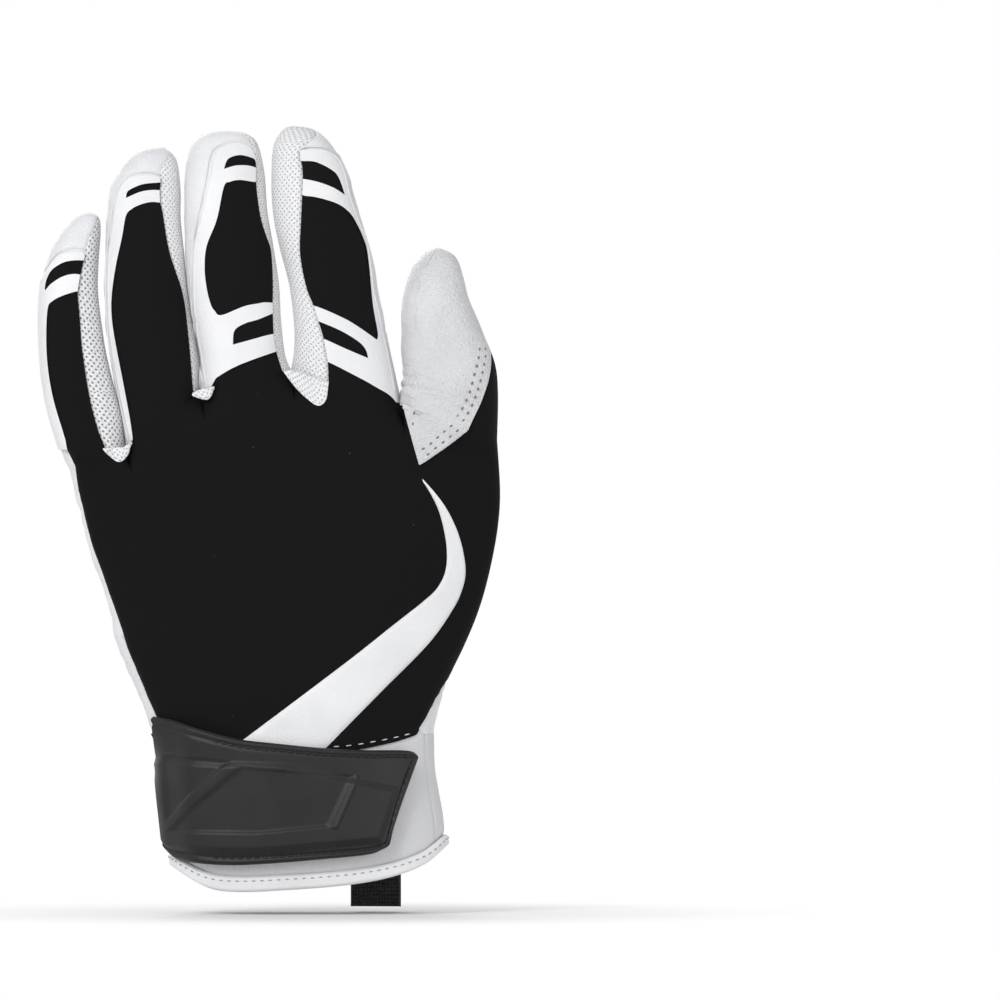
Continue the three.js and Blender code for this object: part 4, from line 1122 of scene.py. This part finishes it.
forms = {name: make_digit(digit) for digit, name in enumerate(DIGITS)}
fillings = {
    "pinky": open_mesh, "ring": white_mesh, "middle": white_mesh, "index": white_mesh, "thumb": black_knit,
}
part_rows = {  # the rows of a tip lie closer together towards its end
    "base": np.linspace(0, SPLIT_SHARE, 30),
    "tip": SPLIT_SHARE + (1 - SPLIT_SHARE) * (1 - (1 - np.linspace(0, 1, 96)) ** 1.35),
}
for digit, name in enumerate(DIGITS):
    form, at, _ = forms[name]
    thumb = name == "thumb"
    edge_angle, edge_height = at(MESH_EDGE_PX[digit])
    top = edge_height.max()
    mirror = (lambda a: a) if GUSSET_SIDES[digit] > 0 else (lambda a: np.pi - a)

    def opening(rows):
        """The mesh's edge on the back and on the palm, in angles from its own side."""
        closing = 1 - (smooth(rows, top - 0.12, top) if thumb else smooth(rows, top, 1.0))
        narrowing = closing if thumb else 1 - smooth(rows, 0.45, 0.95)
        return mirror(read_off(rows, edge_height, edge_angle)) * closing, PALM_REACHES[digit] * narrowing

    for part, rows in part_rows.items():
        # the leather, from the mesh's edge on the back round the digit to its edge on the palm
        back, palm = (edge[:, None] for edge in opening(rows))
        rows = rows[:, None]
        share = np.linspace(0, 1, 90)[None, :]
        wrap = mirror(back + (2 * np.pi - palm - back) * share)
        tuck = tucked(share, 0.018, 0.0006) * (1 - smooth(rows, 0.9, 0.99))
        surface = form(wrap, np.broadcast_to(rows, wrap.shape), 0.0)
        uneven = 0.00018 * ripple(surface, 0.011, 11 + digit)
        uneven = uneven * (1 - smooth(rows, 0.93, 1.0)) * smooth(rows, 0.0, 0.05)
        if thumb:  # its leather also covers the back, and lies in small folds above the crotch
            tuck = 0.0
            uneven = uneven + 0.0007 + 0.0005 * (1 - smooth(rows, 0.0, 0.12)) * smooth(np.sin(wrap), 0.0, 0.3)
            slant = (surface[..., 2] + 0.2 * surface[..., 0]) / 0.0036
            folds = np.sin(2 * np.pi * slant + 1.6 * ripple(surface, 0.012, 31))
            folds = folds * bell(rows, 0.12, 0.08) * smooth(rows, 0.0, 0.03) * smooth(share, 0.0, 0.12)
            uneven = uneven + 0.00034 * folds
        else:  # the leather stays below the knit panel on the back
            uneven = np.where(np.sin(wrap) > 0, np.minimum(uneven, 0.0), uneven)
        leather = lay_sheet(
            f"{name}_{part}_leather", form, wrap, rows, tuck + uneven, 0.0014 if thumb else 0.0009,
            thumb_leather if thumb else palm_leather_finish, room_in_digit(form, wrap, rows),
        )
        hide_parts(f"{name}_{part}_palm")
        if thumb:
            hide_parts(f"{name}_{part}_back")
        follow(leather, digit, part)

        # the mesh, or on the thumb the knit, fills the side and runs a little under both edges
        last = min(rows.max(), top if thumb else 0.985)
        along_digit = np.linspace(rows.min(), last, 24 if part == "base" else 80)[:, None]
        back, palm = (edge[:, None] for edge in opening(along_digit[:, 0]))
        share = np.linspace(0, 1, 26)[None, :]
        fill = mirror(-palm - 0.06 + (back + palm + 0.12) * share)
        swelling = MESH_SWELLS[name] * smooth(along_digit, 0.0, 0.14) * (1 - smooth(along_digit, 0.45, 0.75))
        swelling = swelling * np.sin(np.pi * share)
        filling = lay_sheet(
            f"{name}_{part}_side_knit" if thumb else f"{name}_{part}_mesh", form, fill, along_digit,
            tucked(share, 0.05, 0.0007) + swelling + (KNIT_RISE if thumb else 0.0), 0.0008, fillings[name],
            room_in_digit(form, fill, along_digit),
        )
        if not thumb:
            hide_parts(f"{name}_{part}_gusset")
        follow(filling, digit, part)
        if thumb:
            continue

        # the knit panel on the back of a finger, and over it the overlay with its cut-outs
        along_digit = np.linspace(rows.min(), min(rows.max(), 0.97), 34 if part == "base" else 90)[:, None]
        back = opening(along_digit[:, 0])[0][:, None]
        share = np.linspace(0, 1, 64)[None, :]
        panel = mirror(back - 0.05 + (math.radians(176) - back + 0.05) * share)
        overlay_outline, knit_outline = overlay_outlines(digit)
        knit = lay_sheet(
            f"{name}_{part}_knit", form, panel, along_digit, KNIT_RISE, 0.0003, black_knit,
            room_in_digit(form, panel, along_digit),
        )
        carve(knit, "INTERSECT", prism("knit_outline", knit_outline))
        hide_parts(f"{name}_{part}_back")
        follow(knit, digit, part)
        overlay = lay_sheet(
            f"{name}_{part}_overlay", form, panel, along_digit, OVERLAY_RISE, OVERLAY_THICKNESS, white_leather,
            room_in_digit(form, panel, along_digit),
        )
        carve(overlay, "INTERSECT", prism("overlay_outline", overlay_outline))
        for window, window_px in WINDOWS_PX[name].items():
            carve(overlay, "DIFFERENCE", prism(f"{window}_cutter", closed_curve(window_px, 6)[:-1]))
        drop_crumbs(overlay, len(overlay.data.vertices) // 20)
        follow(overlay, digit, part)

# Overlay seams: a fine raised seam goes round the white overlay of each finger, and a second one
# runs beside it on the leather of the finger.
for digit, name in enumerate(DIGITS[:4]):
    form, at, _ = forms[name]
    edge_px = curve_through(OVERLAY_EDGE_PX[name], 8)
    for row, (shift, rise) in enumerate(((-2.6, OVERLAY_RISE - 0.0001), (2.6, 0.0))):
        angle, height = at(beside(edge_px, shift * GUSSET_SIDES[digit]))
        on_base = (height <= SPLIT_SHARE + 0.01) & (height > 0.01)
        for part, held in (("tip", height > SPLIT_SHARE), ("base", on_base)):
            if held.sum() > 6:
                seam = roll_edge(f"{name}_{part}_seam_{row + 1}", form, angle[held], height[held], rise,
                                 0.00028, white_leather, 90)
                follow(seam, digit, part)

# Thumb seams: two rows of stitches follow the edge of the leather up the thumb's side, and a short
# raised seam runs down from its tip.
THUMB = DIGITS.index("thumb")
thumb_form, thumb_at, _ = forms["thumb"]
THUMB_STITCHES_PX = [
    [[483, 346], [483, 359], [480, 376], [477, 388], [473, 400], [468.8, 410], [463.3, 419.5], [460, 424]],
    [[478, 346], [477.3, 356], [475.5, 366], [473, 376], [468.8, 392], [464.5, 403], [458.5, 414],
     [454, 419.5]],
]
TIP_SEAM_PX = [[436, 252], [428, 264], [420, 283], [417.5, 305], [418, 331]]
# these stitches use the thread painted dark for the shade of their needle holes
for row, line_px in enumerate(THUMB_STITCHES_PX):
    angle, height = thumb_at(curve_through(line_px, 20))
    stitches = sew(f"thumb_side_stitches_{row + 1}", thumb_form, angle, height, 0.0009, painted_shade_thread,
                   0.0027, 0.0011, 0.0006)
    follow(stitches, THUMB, "base")
angle, height = thumb_at(curve_through(TIP_SEAM_PX, 20))
tip_seam = roll_edge("thumb_tip_seam", thumb_form, angle, height, 0.0006, 0.0004, thumb_leather)
follow(tip_seam, THUMB, "tip")

# Finger pads: a small oblong of palm leather over foam on the palm side of each digit. It is sewn
# down all round, with a row of stitches inside its edge.
for digit, name in enumerate(DIGITS):
    form = forms[name][0]
    angle = np.radians(np.linspace(235, 305, 36))[None, :]
    height = np.linspace(0.14, 0.34, 34)[:, None]
    angle, height = np.broadcast_arrays(angle, height)
    pad = lay_sheet(
        f"{name}_pad_leather", form, angle, height, crowned(36, 34, 0.0004, 0.0024, 6), 0.0008,
        palm_leather_finish,
    )
    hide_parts(f"{name}_pad")
    follow(pad, digit, "base")
    a, h = border_of(angle, height, 0.07)
    stitches = sew(f"{name}_pad_stitches", form, a, h, 0.0014, white_thread,
                   0.0022, 0.0014, 0.0005)
    follow(stitches, digit, "base")

# Cuff: a padded band of fine grey-white knit, closed round the wrist and slit on the palm near the
# little finger. Its foam filling makes it swell between the wrist seam and the hem.
HEM_SHARE = 0.095  # how much of the cuff's height the hem takes up
SLIT_START, SLIT_END = math.radians(219), math.radians(227)


def cuff_material():
    """Fine grey-white knit with its rows upright."""
    material, tree, shader, place, bump = start_material("cuff_knit", 0.88, "UV")
    rows = add_node(tree, "TexWave", {"Vector": place}, bands_direction="X", scale=700.0, distortion=2.0,
                    detail=2.0)
    fuzz = add_node(tree, "TexNoise", {"Vector": place}, scale=1700.0, detail=4.0)
    height = add_node(tree, "Math", {0: rows.outputs["Fac"], 1: fuzz.outputs["Fac"]}, operation="ADD")
    two_tone(tree, shader, height.outputs[0], (0.64, 0.64, 0.655), (0.74, 0.74, 0.755), 0.3, 1.4)
    raise_relief(tree, bump, height.outputs[0], 0.0002, 0.3)
    return material


cuff_knit = cuff_material()
around_cuff = np.linspace(SLIT_END - 2 * np.pi, SLIT_START, 240)[None, :]
cuff_rows = np.linspace(HEM_SHARE - 0.025, 1, 60)[:, None]
up = (cuff_rows - cuff_rows[0]) / (1 - cuff_rows[0])
swell = 0.0006 * np.sin(np.pi * up) + tucked(up, 0.04, 0.0008)
side_seam = -0.0007 * bell(around_cuff, math.radians(22), 0.012)
cuff_band = lay_sheet(
    "cuff_band_knit", cuff_form, around_cuff, cuff_rows, swell + side_seam, 0.0022, cuff_knit,
)
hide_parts("cuff_band")
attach(cuff_band, "hand")

# Hem: the lower edge of the cuff is bound with a folded strip of white leather, held by one row
# of stitches.
hem_rows = np.linspace(0, HEM_SHARE, 16)[:, None]
up = hem_rows / hem_rows.max()
around_hem = np.linspace(SLIT_END - 2 * np.pi - 0.012, SLIT_START + 0.012, 240)[None, :]
hem = lay_sheet(
    "cuff_hem_leather", cuff_form, around_hem, hem_rows, 0.0011 * (1 - (2 * up - 1) ** 6), 0.0026,
    white_leather,
)
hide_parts("cuff_hem")
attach(hem, "hand")
angle = np.linspace(SLIT_END - 2 * np.pi + 0.05, SLIT_START - 0.05, 400)
stitches = sew("cuff_hem_stitches", cuff_form, angle, np.full(400, HEM_SHARE * 0.7), 0.0012, hem_thread,
               0.0026, 0.0013, 0.0004)
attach(stitches, "hand")

# Closure tab: black moulded rubber that wraps round the back of the wrist. It has a raised ridge
# and panel, a bevelled end and a stitched edge, and carries the hook patch on its underside.
TAB_TOP_PX = [[148, 716], [172, 720], [200, 728], [222, 734], [246, 739], [283, 743], [324, 747], [364, 749],
              [409, 750], [417, 757]]
TAB_LOW_PX = [[163, 850], [166.5, 855], [178, 859.5], [222, 863.5], [262, 862.5], [324, 857.5], [373, 852],
              [388, 842]]
TAB_PLATEAU_PX = [[140, 733], [190, 741], [250, 754], [338, 763], [404, 765], [380, 842], [262, 853], [180, 852],
                  [140, 848]]
TAB_PANEL_PX = [[244, 764], [352, 774], [329, 826], [260, 833], [166, 832]]
TAB_FACET_PX = [[160, 752], [236, 760], [166, 822]]
TAB_RIB_PX = [[354, 772], [359, 774], [337, 828], [331, 827]]
TAB_HEIGHT_MM = 31
PIXEL_MM = 0.31


def rubber_material():
    """Dull black rubber with a fine moulded grain."""
    material, tree, shader, place, bump = start_material("black_rubber", 0.45)
    shader.inputs["Specular IOR Level"].default_value = 0.3
    clouds = add_node(tree, "TexNoise", {"Vector": place}, scale=90.0, detail=3.0)
    two_tone(tree, shader, clouds.outputs["Fac"], (0.0085, 0.0085, 0.009), (0.013, 0.013, 0.0135), 0.3, 0.7)
    grain = add_node(tree, "TexNoise", {"Vector": place}, scale=1800.0, detail=3.0)
    raise_relief(tree, bump, grain.outputs["Fac"], 0.0002, 0.3)
    return material


def inside(px, corners, soft):
    """1 inside a convex polygon of pixels and 0 outside, with an edge that slopes over some pixels."""
    corners = np.asarray(corners, float)
    depth = np.full(px.shape[:-1], 1e9)
    for a, b in zip(corners, np.roll(corners, -1, axis=0)):
        way = (b - a) / np.linalg.norm(b - a)
        depth = np.minimum(depth, (px[..., 1] - a[1]) * way[0] - (px[..., 0] - a[0]) * way[1])
    return np.clip(depth / soft, 0, 1)


black_rubber = rubber_material()
columns, rows = 230, 110
across = (np.sin(np.linspace(0, 1, columns) * np.pi / 2) ** 0.9)[None, :]  # closer together at the free end
upward = np.linspace(0, 1, rows)[:, None]
top, low = along(TAB_TOP_PX)(across), along(TAB_LOW_PX)(across)
tab_px = low * (1 - upward[..., None]) + top * upward[..., None]
angle, height = cuff_at(tab_px, 0.004)
floor_rise = 0.0008 + 0.0022 * smooth(across, 0.05, 0.19)
relief = 0.0012 * inside(tab_px, TAB_PLATEAU_PX, 7.0) - 0.0007 * inside(tab_px, TAB_PANEL_PX, 3.5)
relief = relief - 0.0007 * inside(tab_px, TAB_FACET_PX, 3.5) + 0.0006 * inside(tab_px, TAB_RIB_PX, 2.0)
end_distance = np.linalg.norm(tab_px - tab_px[:, -1:], axis=2)
border = np.minimum(np.minimum(upward, 1 - upward) * TAB_HEIGHT_MM, end_distance * PIXEL_MM)
rim = -0.0010 * np.exp(-((border / 0.35) ** 2)) - 0.00045 * np.exp(-(((border - 1.8) / 0.45) ** 2))
tab = lay_sheet(
    "closure_tab_rubber", cuff_form, angle, height, floor_rise + 0.0022 + relief + rim, 0.0016,
    black_rubber,
)
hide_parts("closure_tab")
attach(tab, "closure")
inset, first = 6, 30
last = columns - int(np.sum(end_distance.mean(axis=0) < 5.6))
path = [(inset, k) for k in range(first, last)] + [(k, last) for k in range(inset, rows - inset)]
path += [(rows - 1 - inset, k) for k in range(last, first, -1)]
i, j = np.array(path).T
stitches = sew("closure_tab_stitches", cuff_form, angle[i, j], height[i, j], floor_rise[0, j] + 0.0020,
               black_thread, 0.0026, 0.0018, 0.0006)
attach(stitches, "closure")

# Hook and loop: a woven patch of loops sewn to the back of the cuff, and a patch of hooks on the
# underside of the tab that presses onto it and holds the tab shut.
PATCH_RISE = 0.0009


def fastening_material():
    """Dense black tufts."""
    material, tree, shader, place, bump = start_material("hook_and_loop", 0.95)
    tufts = add_node(tree, "TexVoronoi", {"Vector": place}, scale=1600.0)
    two_tone(tree, shader, tufts.outputs["Distance"], (0.03, 0.03, 0.032), (0.01, 0.01, 0.011), 0.0, 0.6)
    raise_relief(tree, bump, tufts.outputs["Distance"], 0.0005)
    return material


fastening = fastening_material()
for name, body, angles, heights, floor_height in (
    ("loop_patch", "hand", (64, 150), (0.26, 0.8), 0.0004),
    ("hook_patch", "closure", (67, 116), (0.3, 0.76), 0.0017),
):
    patch_angle = np.radians(np.linspace(*angles, 70))[None, :]
    patch_height = np.linspace(*heights, 30)[:, None]
    patch = lay_sheet(
        f"{name}_fabric", cuff_form, patch_angle, patch_height,
        floor_height + crowned(70, 30, 0.0006, PATCH_RISE, 12), 0.0006, fastening,
    )
    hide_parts(name)
    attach(patch, body)

# Closure root: the moulded strap runs on round the edge of the wrist and over the slit to the
# palm, where a raised frame holds a window of white ribbed mesh.
strap_angle = np.radians(np.linspace(181.3, 233, 60))[None, :]
strap_height = np.linspace(0.17, 0.93, 60)[:, None]
lower_at_wrist = 1 - 0.8 * smooth(strap_height, 0.7, 0.86) * (1 - smooth(strap_angle, 3.25, 3.6))
strap = lay_sheet(
    "closure_strap_rubber", cuff_form, strap_angle, strap_height,
    0.0008 + crowned(60, 60, 0.0014, 0.0026, 10) * lower_at_wrist, 0.0013, black_rubber,
)
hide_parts("closure_strap")
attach(strap, "hand")

FRAME_OUTER = [[1, 0.62], [0.72, 0.8], [0, 0.88], [-0.7, 1], [-1, 0.92], [-1, -0.1], [-0.86, -0.85],
               [-0.5, -1], [0.6, -0.74], [1, -0.45]]
FRAME_INNER = [[0.36, 0.12], [0.28, 0.2], [-0.1, 0.24], [-0.6, 0.48], [-0.74, 0.46], [-0.7, 0.1],
               [-0.5, -0.3], [-0.32, -0.46], [0.2, -0.34], [0.35, -0.24]]
FRAME_REACH = np.array([math.radians(19.5), 0.44])
inwards = np.linspace(0, 1, 26)[:, None]
outer, inner = closed_curve(FRAME_OUTER, 14) * FRAME_REACH, closed_curve(FRAME_INNER, 14) * FRAME_REACH
frame_angle = math.radians(254) + outer[None, :, 0] * (1 - inwards) + inner[None, :, 0] * inwards
frame_height = 0.52 + outer[None, :, 1] * (1 - inwards) + inner[None, :, 1] * inwards
ridge = 0.0018 * np.exp(-(((inwards - 0.86) / 0.13) ** 2)) + 0.0022 * smooth(inwards, -0.02, 0.08)
ridge = ridge - 0.0005 * np.exp(-(((inwards - 0.2) / 0.05) ** 2)) + 0.0005 * smooth(inwards, 0.28, 0.6)
closure_frame = lay_sheet(
    "closure_frame_rubber", cuff_form, frame_angle, frame_height, 0.0006 + ridge, 0.0012,
    black_rubber,
)
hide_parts("closure_frame")
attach(closure_frame, "hand")

# the holes of this mesh are painted dark as well, for the shade seen through them
window_mesh = mesh_material("window_mesh", 0.0011, 0.26, (0.3, 0.3, 0.31), (0.8, 0.8, 0.81))
across = np.linspace(-1, 1, 90)[None, :]
upward = np.linspace(-1, 1, 60)[:, None]
ribs = 0.0005 * np.sin(across * 9 * np.pi + upward * 2.0)
closure_window = lay_sheet(
    "closure_window_mesh", cuff_form, math.radians(250.5) + math.radians(12.0) * across,
    0.53 + 0.25 * upward * (1 - 0.2 * across**4), 0.0013 + ribs, 0.0008, window_mesh,
)
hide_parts("closure_window")
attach(closure_window, "hand")

# Pull tab: a loop of black woven tape, sewn to the palm side of the cuff, whose free end hangs
# below the hem.
TAPE_LOW = 0.27  # where on the cuff's height the sewn tape ends
FREE_END_HEIGHT = -0.0059
columns, rows = 36, 60


def webbing_material():
    """Black woven tape with a coarse weft."""
    material, tree, shader, place, bump = start_material("black_webbing", 0.8, "UV")
    weft = add_node(tree, "TexWave", {"Vector": place}, bands_direction="Y", scale=260.0)
    warp = add_node(tree, "TexWave", {"Vector": place}, bands_direction="X", scale=330.0)
    weave = add_node(tree, "Math", {0: weft.outputs["Fac"], 1: warp.outputs["Fac"]}, operation="MULTIPLY")
    two_tone(tree, shader, weave.outputs[0], (0.008, 0.008, 0.009), (0.035, 0.035, 0.037))
    raise_relief(tree, bump, weave.outputs[0], 0.0004)
    return material


black_webbing = webbing_material()
tape_angle = np.radians(np.linspace(283, 306, columns))[None, :]
tape_rise = 0.0005 + crowned(columns, rows, 0.0009, 0.0014, 12)
sewn_tape = lay_sheet(
    "pull_tab_sewn_tape", cuff_form, tape_angle, np.linspace(TAPE_LOW, 0.9, rows)[:, None], tape_rise,
    0.0009, black_webbing,
)
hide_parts("pull_tab_base")
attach(sewn_tape, "hand")
tape_top = cuff_form(np.radians(283.0), TAPE_LOW, 0.0)[2] - 0.0004


def hanging_form(angle, height, offset):
    """The free end leaves the sewn tape at its lower edge and hangs in front of the hem."""
    angle, height, offset = np.broadcast_arrays(angle, height, offset)
    hanging = cuff_form(angle, HEM_SHARE / 2, offset + 0.0006)
    sewn = cuff_form(angle, TAPE_LOW, offset)
    near = smooth(height, 0.45, 1.0)[..., None]
    points = hanging * (1 - near) + sewn * near
    points[..., 2] = FREE_END_HEIGHT + (tape_top - FREE_END_HEIGHT) * height
    return points


free_tape = lay_sheet(
    "pull_tab_free_tape", hanging_form, tape_angle, np.linspace(0, 1, rows)[:, None], tape_rise, 0.0009,
    black_webbing,
)
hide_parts("pull_tab")
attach(free_tape, "pull_tab_end")
